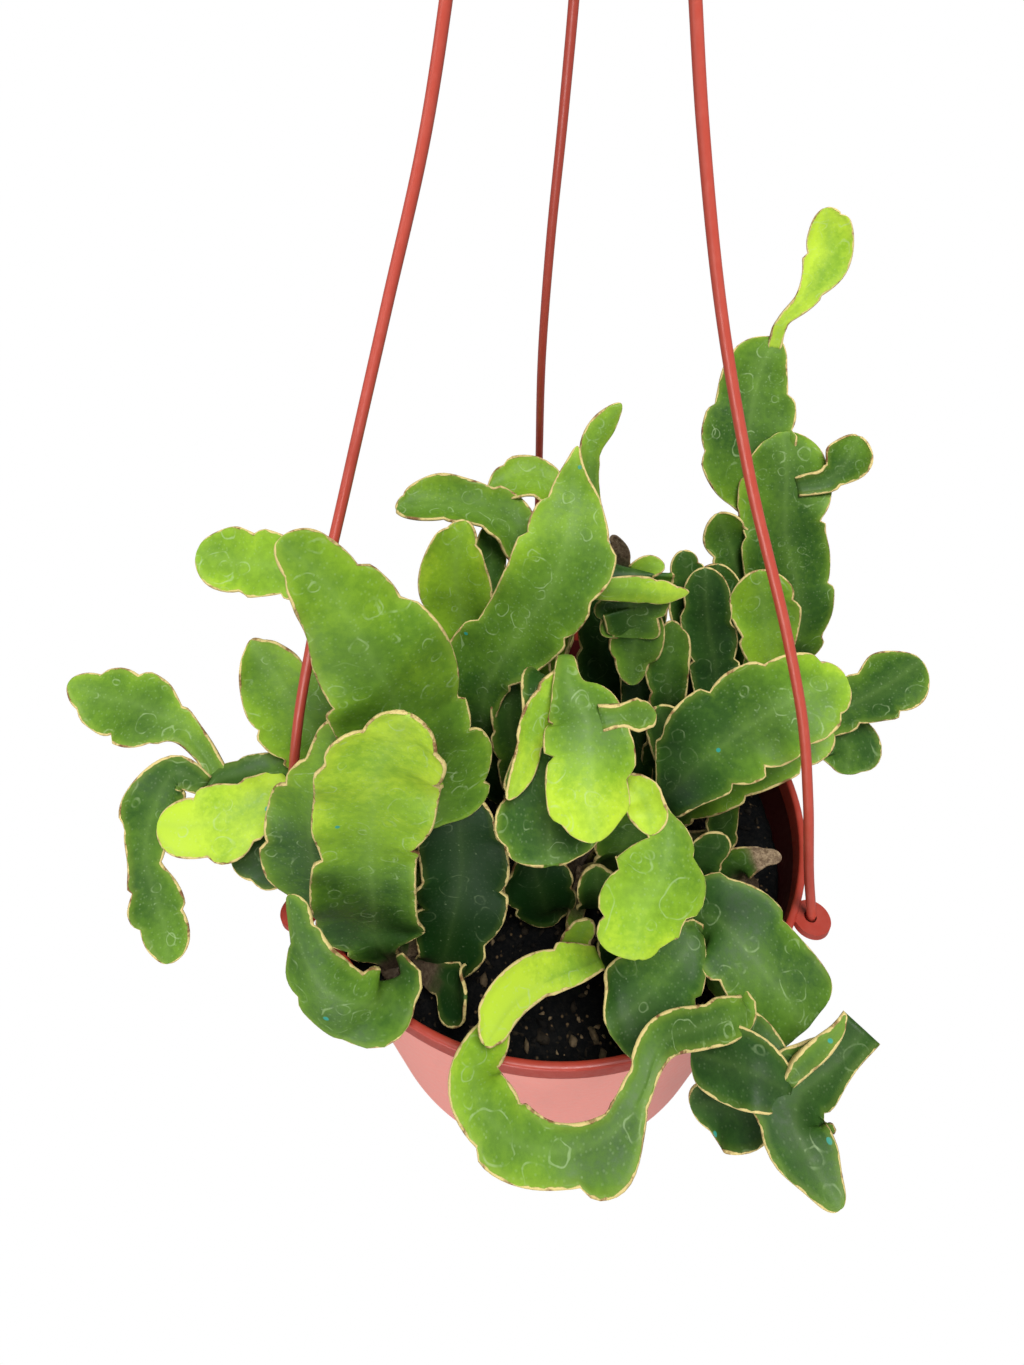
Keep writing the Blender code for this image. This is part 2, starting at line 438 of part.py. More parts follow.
def keep_one_body(obj):
    """Fills the hollows that joined blades seal, and drops the scraps they leave."""
    bm = bmesh.new()
    bm.from_mesh(obj.data)
    bmesh.ops.dissolve_degenerate(bm, dist=WELD, edges=bm.edges)
    bmesh.ops.triangulate(bm, faces=bm.faces)
    ranked = sorted(shells(bm), key=volume, reverse=True)
    extra = [face for shell in ranked[1:] for face in shell]
    bmesh.ops.delete(bm, geom=extra, context="FACES")
    bm.to_mesh(obj.data)
    bm.free()


def cylinder(name, centre, radius, height, sides, collection, top_radius=None):
    """An upright cylinder or cone whose middle is at centre, in the pot's frame."""
    mesh = bpy.data.meshes.new(name)
    bm = bmesh.new()
    bmesh.ops.create_cone(bm, cap_ends=True, segments=sides, radius1=radius * MM,
                          radius2=(radius if top_radius is None else top_radius) * MM, depth=height * MM)
    bm.to_mesh(mesh)
    bm.free()
    obj = add_object(name, mesh, collection)
    obj.location = world(*centre)
    return obj


def turned(name, profile, steps, collection, mat):
    """A solid of revolution from (radius, z) points that run down its outer side."""
    mesh = bpy.data.meshes.new(name)
    points = [world(r, 0, z) for r, z in profile]
    mesh.from_pydata(points, [(i, i + 1) for i in range(len(points) - 1)], [])
    obj = add_object(name, mesh, collection, mat)
    screw = obj.modifiers.new("turn", "SCREW")
    screw.steps = steps
    screw.render_steps = steps
    screw.use_merge_vertices = True
    screw.merge_threshold = 1e-5
    return obj


def tube(name, points, radius, sides_level, collection, mat):
    """A round bar along points of the pot's frame, as a closed mesh."""
    curve = bpy.data.curves.new(name, "CURVE")
    curve.dimensions = "3D"
    curve.bevel_depth = radius * MM
    curve.bevel_resolution = sides_level
    curve.use_fill_caps = True
    spline = curve.splines.new("POLY")
    spline.points.add(len(points) - 1)
    for spot, point in zip(spline.points, points):
        spot.co = (*world(*point), 1.0)
    bar = add_object(name + "_curve", curve, collection)
    bpy.context.view_layer.update()
    depsgraph = bpy.context.evaluated_depsgraph_get()
    mesh = bpy.data.meshes.new_from_object(bar.evaluated_get(depsgraph))
    bm = bmesh.new()
    bm.from_mesh(mesh)
    bmesh.ops.remove_doubles(bm, verts=bm.verts, dist=1e-6)
    bmesh.ops.recalc_face_normals(bm, faces=bm.faces)
    bm.to_mesh(mesh)
    bm.free()
    obj = add_object(name, mesh, collection, mat)
    obj.matrix_world = bar.matrix_world
    bpy.data.objects.remove(bar, do_unlink=True)
    return obj


def smooth_path(points, at):
    """The path's places and widths at the given shares of its length, which is also
    returned. The curve passes smoothly through every point."""
    points = np.asarray(points, float)
    dist = np.concatenate([[0.0], np.cumsum(np.linalg.norm(np.diff(points[:, :3], axis=0), axis=1))])
    slopes = np.gradient(points, dist, axis=0)
    s = np.asarray(at) * dist[-1]
    i = np.clip(np.searchsorted(dist, s, side="right") - 1, 0, len(dist) - 2)
    h = (dist[i + 1] - dist[i])[:, None]
    u = (s - dist[i])[:, None] / h
    rise = 3 * u**2 - 2 * u**3
    out = (points[i] * (1 - rise) + points[i + 1] * rise
           + (u**3 - 2 * u**2 + u) * h * slopes[i] + (u**3 - u**2) * h * slopes[i + 1])
    return out, dist[-1]


def unit(vectors):
    return vectors / np.maximum(np.linalg.norm(vectors, axis=-1, keepdims=True), 1e-9)


def facing(azimuth, elevation):
    """A unit vector, with azimuth 0 along -Y and 90 along +X, in degrees."""
    a, e = math.radians(azimuth), math.radians(elevation)
    return (math.sin(a) * math.cos(e), -math.cos(a) * math.cos(e), math.sin(e))


def notches(places, length, phase):
    """Where one margin's notches are along a blade: as listed, or spaced by a rule."""
    cuts = [-LOBE_PITCH * phase % LOBE_PITCH - LOBE_PITCH]
    while not places and cuts[-1] < length:
        cuts.append(cuts[-1] + LOBE_PITCH * (1 + PITCH_SPREAD * math.sin(7 * phase + 2.4 * len(cuts))))
    return np.array([-LOBE_PITCH, *places, length + LOBE_PITCH] if places else cuts)


def lobe(s, cuts, half, phase):
    """How far the margin's lobes stand out at arc length s. Each one swells from the
    notch below it to a shoulder, and drops off sharply into the notch above it."""
    i = np.clip(np.searchsorted(cuts, s, side="right") - 1, 0, len(cuts) - 2)
    share = (s - cuts[i]) / (cuts[i + 1] - cuts[i])
    swell = np.sin(np.pi / 2 * np.minimum(share / LOBE_SWELL, 1)) ** 0.8
    drop = np.clip((cuts[i + 1] - s) / LOBE_DROP, 0, 1)
    uneven = LEAST_LOBE + LOBE_SPREAD * np.abs(np.sin(5 * phase + 1.7 * i))
    depth = np.minimum(LOBE_DEPTH, LOBE_SHARE * half) * uneven
    return (swell * np.sqrt(1 - (1 - drop) ** 2) - LOBE_REST) * depth


def tip_length(leaf):
    """How much of the blade's end its rounded tip takes."""
    return (leaf.path[-1][3] + leaf.path[-1][4]) * TIP_SHARE / leaf.blunt + TIP_EXTRA


def section_places(leaf, length, cuts):
    """Arc lengths of a blade's cross-sections: at each notch and at the shoulder
    below it where the blade is wide, along the tip, and evenly in between."""
    tip = tip_length(leaf)
    marks = [length - tip * share for share in TIP_SHARES]
    for cut in sorted(cuts):
        for mark in (cut - LOBE_DROP, cut - NOTCH_W):
            if not STATION < mark < length - tip:
                continue
            wide = max(smooth_path(leaf.path, [mark / length])[0][0, 3:]) > WIDE
            if wide and min(abs(mark - other) for other in marks) > CLOSEST:
                marks.append(mark)
    marks = sorted([0.0, *(mark for mark in marks if mark > CLOSEST)])
    places = [0.0]
    for before, after in zip(marks, marks[1:]):
        steps = math.ceil((after - before) / STATION)
        places += [before + (after - before) * step / steps for step in range(1, steps + 1)]
    return np.array(places)


def blade_rows(leaf, order, columns):
    """Rows of points across a blade, from its base to its rounded tip."""
    length = smooth_path(leaf.path, [0.0])[1]
    phase = order * PHASE_STEP
    margins = [(notches(leaf.left, length, phase), phase),
               (notches(leaf.right, length, phase + SIDE_PHASE), phase + SIDE_PHASE)]
    s = section_places(leaf, length, [*margins[0][0], *margins[1][0]])
    stations, _ = smooth_path(leaf.path, s / length)
    spine = stations[:, :3]
    along = unit(np.gradient(spine, s, axis=0))
    looks = np.array([facing(*face) for face in leaf.faces])
    place = s / length * (len(looks) - 1)
    look = np.stack([np.interp(place, range(len(looks)), column) for column in looks.T], axis=1)
    look = unit(look - along * (look * along).sum(1, keepdims=True))
    side = np.cross(along, look)
    power = TIP_POWER * leaf.blunt
    taper = (1 - (1 - np.clip((length - s) / tip_length(leaf), 0, 1)) ** power) ** (1 / power)
    columns_of = []
    for q in np.linspace(-1, 1, columns + 1):
        cuts, phase = margins[0 if q < 0 else 1]
        half = stations[:, 3 if q < 0 else 4]
        reach = np.maximum((half + lobe(s, cuts, half, phase)) * taper, THINNEST)[:, None]
        columns_of.append(spine + side * q * reach + look * leaf.cup * reach * q * q)
    return np.stack(columns_of, axis=1)


def blade(name, leaf, order, collection):
    """A thin leaf-like stem as a closed solid, split alike on both faces."""
    rows = blade_rows(leaf, order, 4 if abs(leaf.cup) >= CUPPED else 2)
    mesh = bpy.data.meshes.new(name)
    bm = bmesh.new()
    grid = [[bm.verts.new(world(*point)) for point in row] for row in rows.tolist()]
    for lower, upper in zip(grid, grid[1:]):
        for j in range(len(lower) - 1):
            bm.faces.new((lower[j], lower[j + 1], upper[j + 1]))
            bm.faces.new((lower[j], upper[j + 1], upper[j]))
    bm.to_mesh(mesh)
    bm.free()
    obj = add_object(name, mesh, collection)
    shell = obj.modifiers.new("thickness", "SOLIDIFY")
    shell.thickness = BLADE_T * MM
    shell.offset = 0.0
    apply_modifiers(obj)
    bm = bmesh.new()
    bm.from_mesh(obj.data)
    bmesh.ops.recalc_face_normals(bm, faces=bm.faces)
    bm.to_mesh(obj.data)
    bm.free()
    return obj


def leafy_stem(name, root, blades, first, collection, scratch, mat):
    """A woody root with its blades fused to it as one body."""
    x, y, radius = root
    height = ROOT_TOP - HOLE_Z - GAP
    stem = cylinder(name, (x, y, ROOT_TOP - height / 2), radius * 0.8, height, ROOT_SIDES, collection, radius)
    stem.data.materials.append(mat)
    for count, (part, leaf) in enumerate(blades.items()):
        blade(f"{name}_{part}", leaf, first + count, scratch)
    boolean(stem, scratch, "UNION", "MANIFOLD")
    keep_one_body(stem)
    return stem


def wall_inner(z):
    """The pot's inner radius at height z, below the lip."""
    share = (-LIP_H - z) / (POT_H - CORNER - LIP_H)
    return WALL_TOP_R + (BASE_R - WALL_TOP_R) * share - WALL_T


def make_pot(collection, scratch, mat):
    floor = -POT_H + FLOOR_T
    profile = [(0, floor), (BASE_R - WALL_T - CORNER, floor), (BASE_R - WALL_T, floor + CORNER * 0.8),
               (wall_inner(-LIP_H), -LIP_H), (wall_inner(-LIP_H) + 0.4, -0.6), (wall_inner(-LIP_H) + 0.9, 0),
               (RIM_R - 0.6, 0), (RIM_R, -0.6), (RIM_R, -LIP_H + 0.5), (RIM_R - 0.5, -LIP_H),
               (WALL_TOP_R, -LIP_H), (BASE_R, -POT_H + CORNER), (BASE_R - 1.4, -POT_H + 1.3),
               (BASE_R - CORNER, -POT_H), (0, -POT_H)]
    pot = turned("pot", profile, POT_STEPS, collection, mat)
    apply_modifiers(pot)
    for side, azimuth in EAR_AZIMUTHS.items():
        a = math.radians(azimuth)
        centre = (EAR_OUT * math.cos(a), EAR_OUT * math.sin(a), EAR_TOP - EAR_T / 2)
        cylinder("ear_" + side, centre, EAR_R, EAR_T, 20, scratch)
    boolean(pot, scratch, "UNION")
    for azimuth in EAR_AZIMUTHS.values():
        a = math.radians(azimuth)
        slot_r = STRAND_BOW[0][0]
        centre = (slot_r * math.cos(a), slot_r * math.sin(a), EAR_TOP - EAR_T / 2)
        cylinder("slot", centre, STRAND_R + GAP + 0.1, EAR_T * 3, 12, scratch)
    for i in range(DRAINS):
        a = 2 * math.pi * i / DRAINS
        centre = (DRAIN_RING_R * math.cos(a), DRAIN_RING_R * math.sin(a), -POT_H + FLOOR_T / 2)
        cylinder("drain", centre, DRAIN_R, FLOOR_T * 3, 12, scratch)
    boolean(pot, scratch, "DIFFERENCE")
    return pot


def soil_height(x, y):
    """The soil's rough top: low mounds of a few sizes, in millimetres."""
    mounds = math.sin(x * 0.21 + 1.3) * math.cos(y * 0.17 + 0.4) + 0.5 * math.sin(x * 0.47 - y * 0.38)
    return SOIL_Z + SOIL_ROUGH * mounds


def make_soil(collection, scratch, mat):
    rings = [(wall_inner(SOIL_Z) - GAP) * i / SOIL_RINGS for i in range(SOIL_RINGS + 1)]
    low = -POT_H + FLOOR_T + GAP
    profile = [(r, SOIL_Z) for r in rings]
    profile += [(BASE_R - WALL_T - GAP, low + CORNER), (BASE_R - WALL_T - CORNER - 0.6, low), (0, low)]
    soil = turned("soil", profile, POT_STEPS, collection, mat)
    apply_modifiers(soil)
    edge = rings[-2] * MM
    for vert in soil.data.vertices:
        on_top = abs(vert.co.z / MM + HANG - SOIL_Z) < 0.1
        if on_top and math.hypot(vert.co.x, vert.co.y) < edge * 1.02:
            vert.co.z = (soil_height(vert.co.x / MM, vert.co.y / MM) - HANG) * MM
    depth = SOIL_Z - HOLE_Z + 10
    for (x, y, radius), _ in STEMS.values():
        cylinder("hole", (x, y, HOLE_Z + depth / 2), radius + GAP, depth, ROOT_SIDES, scratch)
    boolean(soil, scratch, "DIFFERENCE")
    return soil


def make_strand(side, azimuth, collection, scratch, mat):
    """A bowed strand with a button under its ear and one on the hub."""
    a = math.radians(azimuth)
    points = [(r, lean, z) for (r, z), lean in zip(STRAND_BOW, STRAND_LEANS[side])]
    bow, _ = smooth_path(points, np.linspace(0, 1, STRAND_STEPS + 1))
    top = HUB_Z + HUB_T + GAP
    bow = [(STRAND_BOW[0][0], 0, STRAND_FOOT)] + bow.tolist()
    bow = [(r * math.cos(a) + lean, r * math.sin(a), z) for r, lean, z in bow]
    bow.append((bow[-1][0], bow[-1][1], top + BUTTON_T / 2))
    strand = tube("strand_" + side, bow, STRAND_R, 2, collection, mat)
    low_z = EAR_TOP - EAR_T - GAP - BUTTON_T / 2
    cylinder("button", (bow[0][0], bow[0][1], low_z), BUTTON_R, BUTTON_T, 16, scratch)
    cylinder("button", (bow[-1][0], bow[-1][1], top + BUTTON_T / 2), BUTTON_R, BUTTON_T, 16, scratch)
    boolean(strand, scratch, "UNION")
    return strand


def make_hook(collection, scratch, mat):
    """A hub that the strands hang from and an open hook above it."""
    ring_r = HOOK_INNER_R + HOOK_WIRE_R
    centre_z = HANG - HOOK_INNER_R
    arc = [(0, 0, HUB_Z + HUB_T / 2), (0, 0, HUB_Z + HUB_T + 6)]
    for i in range(HOOK_STEPS + 1):
        a = math.radians(-90 + (HOOK_END + 90) * i / HOOK_STEPS)
        arc.append((ring_r * math.cos(a), 0, centre_z + ring_r * math.sin(a)))
    hook = tube("hook", arc, HOOK_WIRE_R, 2, collection, mat)
    cylinder("hub", (0, 0, HUB_Z + HUB_T / 2), HUB_R, HUB_T, 28, scratch)
    boolean(hook, scratch, "UNION")
    hole_r = STRAND_BOW[-1][0]
    for azimuth in EAR_AZIMUTHS.values():
        a = math.radians(azimuth)
        centre = (hole_r * math.cos(a), hole_r * math.sin(a), HUB_Z + HUB_T / 2)
        cylinder("hole", centre, STRAND_R + GAP + 0.3, HUB_T * 3, 12, scratch)
    boolean(hook, scratch, "DIFFERENCE")
    return hook


def smooth_shade(obj, angle):
    obj.data.shade_smooth()
    obj.data.set_sharp_from_angle(angle=math.radians(angle))


def main():
    for old in list(bpy.data.objects):
        bpy.data.objects.remove(old, do_unlink=True)
    parts = bpy.data.collections.new("potted_orchid_cactus")
    scratch = bpy.data.collections.new("cutters")
    bpy.context.scene.collection.children.link(parts)
    bpy.context.scene.collection.children.link(scratch)
    plastic = material("terracotta_plastic", (0.52, 0.11, 0.07), 0.38)
    earth = material("potting_soil", (0.03, 0.022, 0.018), 0.95)
    green = material("stem_green", (0.16, 0.30, 0.07), 0.42)
    solids = [make_pot(parts, scratch, plastic), make_soil(parts, scratch, earth),
              make_hook(parts, scratch, plastic)]
    for side, azimuth in EAR_AZIMUTHS.items():
        solids.append(make_strand(side, azimuth, parts, scratch, plastic))
    first = 0
    for name, (root, blades) in STEMS.items():
        solids.append(leafy_stem(name, root, blades, first, parts, scratch, green))
        first += len(blades)
    for obj in solids:
        smooth_shade(obj, 40)


main()
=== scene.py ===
"""The looks of a potted orchid cactus that hangs on three strands.

The plant's shapes are worked out in the pot's own frame, in millimetres, with its
origin at the centre of the rim's top edge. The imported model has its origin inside
the top of the hook, and the rim is found from the pot's box. A shape is its points,
its faces and a dict of the values that its points keep for the shaders.
"""

import math
import random
from collections import namedtuple

import bmesh
import bpy
import numpy as np
from mathutils import Matrix, Vector, noise

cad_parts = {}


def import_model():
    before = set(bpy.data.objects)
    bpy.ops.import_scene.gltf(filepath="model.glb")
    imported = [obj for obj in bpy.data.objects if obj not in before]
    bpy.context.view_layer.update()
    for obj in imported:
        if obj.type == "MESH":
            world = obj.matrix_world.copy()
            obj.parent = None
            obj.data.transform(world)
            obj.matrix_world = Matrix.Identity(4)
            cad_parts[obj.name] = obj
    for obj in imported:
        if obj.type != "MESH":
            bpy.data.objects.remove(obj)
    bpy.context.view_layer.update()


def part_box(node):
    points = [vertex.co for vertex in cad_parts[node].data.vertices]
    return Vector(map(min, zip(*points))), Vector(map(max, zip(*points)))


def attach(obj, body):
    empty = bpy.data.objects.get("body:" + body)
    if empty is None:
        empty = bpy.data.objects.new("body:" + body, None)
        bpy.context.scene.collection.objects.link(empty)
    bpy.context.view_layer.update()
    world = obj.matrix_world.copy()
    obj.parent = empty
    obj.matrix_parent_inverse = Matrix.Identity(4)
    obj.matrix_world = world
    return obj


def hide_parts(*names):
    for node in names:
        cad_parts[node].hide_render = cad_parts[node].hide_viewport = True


MM = 0.001
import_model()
pot_low, pot_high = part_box("pot")
RIM_Z = pot_high.z / MM
POT_H = (pot_high.z - pot_low.z) / MM

# Camera: where the photograph was taken from, in the pot's frame, and its lens.
PHOTO_LONG_SIDE = 1365
FOCAL_PX = 760
PRINCIPAL_ROW = 506
CAMERA_AT = (-8.6, -152.1, 201.6)
CAMERA_PITCH = 32.7
CAMERA_YAW = 0.7
CAMERA_ROLL = -0.9
SENSOR = 36.0
CLIP_START = 0.01

# Studio. A light has its place as seen from the point that it shines at, the height
# of that point, its own width, all in metres, and its power.
BACKDROP_R = 4.0
FLOOR_DROP = 0.35
SKY_STRENGTH = 0.29
LIGHTS = {"key": ((0.2, -0.5, 1.3), pot_high.z, 0.7, 22.0),
          "fill": ((-1.1, -0.7, 0.5), pot_high.z, 1.0, 3.0),
          "bounce": ((-0.3, -0.9, -0.2), pot_low.z, 0.6, 5.0)}

# Colours.
GREENS = [(0.0, (0.007, 0.032, 0.005)), (0.28, (0.030, 0.086, 0.011)), (0.55, (0.098, 0.210, 0.016)),
          (0.8, (0.215, 0.385, 0.020)), (1.0, (0.430, 0.610, 0.035))]
RIB_GREEN = (0.23, 0.38, 0.09)
MARK_PALE = (0.40, 0.54, 0.27)
DOT_TEAL = (0.02, 0.28, 0.24)
SPECK_PALE = (0.34, 0.45, 0.24)
DUST_PALE = (0.42, 0.56, 0.30)
CORK_PALE = (0.62, 0.50, 0.20)
CORK_DARK = (0.20, 0.10, 0.04)
HALO_GREEN = (0.30, 0.42, 0.05)
WOOD_DARK = (0.15, 0.095, 0.055)
WOOD_PALE = (0.48, 0.36, 0.22)
# Wood painted nearly black as shade, deep in the plant.
WOOD_PAINTED_SHADE = (0.03, 0.02, 0.013)
POT_RED = (0.36, 0.038, 0.022)
POT_WORN = (0.46, 0.09, 0.06)
# The pot's outer wall is painted paler than its rim, as painted glare from the bright white surroundings.
POT_WALL_PAINTED_GLARE = (0.97, 0.345, 0.285)
POT_SHADED = (0.09, 0.010, 0.009)
HANGER_RED = (0.48, 0.065, 0.040)
HANGER_WORN = (0.58, 0.14, 0.10)
SOIL_BLACK = (0.0012, 0.0018, 0.0024)
SOIL_BROWN = (0.009, 0.008, 0.007)
SOIL_CRUMB = (0.22, 0.14, 0.07)
BARK_DARK = (0.03, 0.018, 0.011)
BARK_PALE = (0.50, 0.36, 0.20)

# Pot.
RIM_R = 76.0
LIP_H = 5.5
LIP_FLARE = 0.9
LIP_DRAFT = 0.3
LIP_STEP = 0.2
WALL_TOP_R = 74.6
WALL_T = 1.5
BASE_R = 61.5
CORNER = 4.5
EDGE_R = 0.9
EDGE_SHARE = 0.45
EDGE_STEPS = 5
FLOOR_T = 1.8
POT_STEPS = 160
DRAIN_R = 3.5
DRAIN_RING_R = 40.0
DRAINS = 6
EAR_AZIMUTHS = {"left": 209.0, "right": -31.0, "back": 92.0}
EAR_R = 4.8
EAR_OUT = 79.4
EAR_T = 2.2
EAR_TOP = -0.6
EAR_STEPS = 48
SHARP_ANGLE = 35

# Hanger.
STRAND_R = 1.2
STRAND_TAPER = (1.04, 0.84)
STRAND_FOOT = -4.0
STRAND_STEPS = 160
STRAND_BOW = [(79, 1), (76.6, 13), (71, 43), (65, 67), (58, 88), (44, 126), (34.5, 158),
              (27, 186), (20.5, 216), (13, 246), (8.2, 267), (7, 276), (7, 281)]
# How far to +X the leaves and the hanging weight push each strand, at the bow's points.
STRAND_LEANS = {"left": (0, -1, -2.5, -3, -3.5, -4, -2.2, 0, 1.2, 0.8, 0, 0, 0),
                "right": (0, -0.5, -1, -0.8, -0.8, -1.3, -1.9, -1.2, -0.6, -0.2, 0, 0, 0),
                "back": (0, 0, 0, 0, -0.3, -0.6, 0.6, 2.4, 3.8, 2.8, 0.7, 0, 0)}
ROUND_STEPS = 20
HOLE_STEPS = 24
# How many times longer a hole's cutting bar is than what it cuts through.
THROUGH = 3
EAR_HOLE_PLAY = 0.4
HUB_HOLE_PLAY = 0.6
BUTTON_R = 2.5
BUTTON_T = 1.8
BUTTON_GAP = 0.3
BUTTON_EDGE = 0.5
BUTTON_STEPS = 28
HUB_R = 11.0
HUB_T = 3.5
HUB_Z = 277.0
HUB_EDGE = 0.6
HUB_ROUND = 0.8
HUB_STEPS = 64
HOOK_WIRE_R = 2.2
HOOK_INNER_R = 9.0
HOOK_START = -90.0
HOOK_END = 205.0
HOOK_STEPS = 60
SHANK_HEIGHTS = (-HUB_T / 2, 2, 6)

# Soil.
SOIL_Z = -18.0
SOIL_ROUGH = 0.9
SOIL_CELL = 1.5
SOIL_GAP = 0.3
SOIL_STEPS = 220
CRUMB_H = 1.5
CHIPS = 1500
CHIP_SEED = 11
LUMP_SEED = 3
CHIP_SIZES = (0.35, 0.5, 0.5, 0.7, 0.7, 1.0, 1.6)
CHIP_TONES = (0.02, 0.04, 0.08, 0.15, 0.9)
CHIP_REACH = 0.97
CHIP_FLAT = 0.55
CHIP_SUNK = 0.2

# Blades: their sections, and the lobes and notches of their margins.
BLADE_STEP = 1.2
LEAST_STEPS = 6
LEAST_BODY = 0.3
TIP_STEPS = 14
TIP_TURN = 86
TIP_SHARE = 0.65
TIP_LEAST = 1.0
TIP_POWER = 2.4
HALF_COLUMNS = 9
LOBE_PITCH = 17.0
LOBE_SWELL = 0.55
LOBE_ROUND = 0.8
LOBE_DROP = 2.2
LOBE_DEPTH = 1.9
LOBE_SHARE = 0.22
LOBE_INSET = 0.6
NOTCH_SPREAD = 0.35
ROLL_FROM = 0.3
LEAST_HALF = 0.15
PHASE_STEP = 0.37
# The columns of points nearest to a margin: how far in, in mm and as a share.
MARGIN_COLUMNS = ((0.3, 0.12), (0.7, 0.28), (1.2, 0.48))

# Blades: their waves, each with its size, length and lag, their thickness and woody
# parts. BEAD has distances from the margin, and half of the blade's thickness there.
RUFFLE = 0.8
WAVES = ((1.0, 4.6, 2.4), (0.5, 2.3, 1.3))
SWELL = 0.35
SWELL_LENGTH = 7
BROAD_HALF = 8
BEAD = ((0.0, 0.3, 0.7, 1.2, 3.0), (0.08, 0.42, 0.46, 0.36, 0.42))
RIB_H = 0.22
RIB_W = 1.6
RIB_HALF = 6
STALK_H = 0.7
STALK_HALF = 4.6
THIN_HALF = 1.2
WOODY_LENGTH = 17.0
WOODY_FADE = 9
PLANT_STEP = 7.7
DRY_FADE = 0.05
TIP_LIGHT = 0.12
DEPTH_SHADE = 0.22
DEPTH_TOP = 40
DEPTH_SPAN = 50
INSIDE_SPAN = 25
ROOT_TOP = -13.0
ROOT_FOOT = -43.7
ROOT_RINGS = 14
ROOT_WAIST = 0.78
ROOT_GROWTH = 0.2
ROOT_KNOTS = 0.10
ROOT_MOST = 1.02
# The root's tint of 0 paints its wood nearly black, as painted shade.
ROOT_VALUES = {"along": 0.0, "across": 9.0, "rim": 9.0, "tint": 0.0, "wood": 1.0, "plant": 0.0}

# Each leafy stem: where its woody root stands in the soil (x, y, radius), and its
# blades. A blade is its path as (x, y, z, left half-width, right half-width), or with
# one half-width for both sides, the direction or directions that its face looks to
# along the path as (azimuth from -Y towards +X, elevation), its cup as a share of its
# half-width, how bright its green is along it (partly its own tone, younger growth being
# brighter, and partly painted light and shade), the distances along it of the notches
# in its left and right margins, how far each margin rolls over in degrees, how blunt
# its tip is, and what share of it is dry. Left and right are as seen on that face, tip upwards.
Blade = namedtuple("Blade", "path faces cup tint left right roll blunt dry",
                   defaults=((), (), (), 1.0, 0.0))
STEMS = {}
STEMS["leafy_stem_front_left"] = ((-42, -45, 6.0), {
    "tall": Blade([(-41, -44, -17, 3, 2), (-38, -42, -2, 6, 3), (-36, -40, 15, 8, 2), (-30, -42, 42, 9, 1.5),
        (-28, -43, 51, 9, 11), (-29, -44, 62, 11, 14), (-31, -46, 74, 13, 12.5), (-34, -46.5, 90, 13, 13.5),
        (-37, -47, 101, 10.5, 13), (-40, -46.5, 110, 7.5, 9.5), (-43, -46, 117, 6.5, 7.5),
        (-50, -46, 127, 2.5, 4.5)], [(0, 25), (8, 30), (15, 38)], -0.15, (0.38, 0.46, 0.52, 0.58),
        left=(112, 144), right=(72, 90, 100, 127, 137)),
    "broad": Blade([(-43, -46, -17, 2), (-44.5, -47.5, -6, 4, 3), (-45, -49, 1, 8, 4),
        (-46, -49, 9, 13.5, 13), (-45, -49.5, 18, 13.5, 10.5), (-44, -50, 32, 13.5, 9.8),
        (-43, -50.5, 43, 12, 10), (-41, -51, 56, 12), (-39, -52, 67, 11.5, 12.2), (-37, -53, 77, 11, 12.5),
        (-33, -54, 86, 7, 11), (-29.5, -55, 94, 5, 8)], [(5, 25), (5, 25), (10, 35)], 0.12,
        (0.05, 0.4, 0.7, 0.8), left=(20, 60, 94, 104), right=(26, 66, 97, 108)),
    "shaded": Blade([(-45, -44, -17, 2), (-49, -41, -3, 4), (-54, -42, 11, 8.5, 8), (-58, -44, 22, 11, 9),
        (-57, -44, 49, 9.5, 10), (-51, -45, 67, 5, 8), (-46, -46, 82, 2.5, 5)], [(-15, 20), (-10, 25)], 0.2,
        (0.15, 0.4, 0.6), left=(28, 57, 77, 88)),
    "rim_cup": Blade([(-41, -48, -17, 2), (-38, -57, 4, 4), (-44, -67, 12, 11, 6.5), (-54, -67, 20, 10, 6.5),
        (-59, -61, 30, 3, 5), (-61, -56, 37, 1.5, 3)], [(-20, 40), (-35, 40)], -0.3, 0.35),
    "inner": Blade([(-38, -45, -17, 2), (-31, -48, -9, 6), (-27, -45, 5, 9, 11), (-24, -42, 23, 10, 11.5),
        (-23.5, -40.5, 39, 9, 9.5), (-22.5, -39, 51, 5)], (0, 30), 0.2, -0.08, right=(22, 41, 58)),
    "low": Blade([(-39, -46, -14, 2), (-30, -52, -10, 4), (-25, -57, -6, 7), (-23, -60, -1, 5, 6)], (0, 60),
        0.1, 0.1),
})
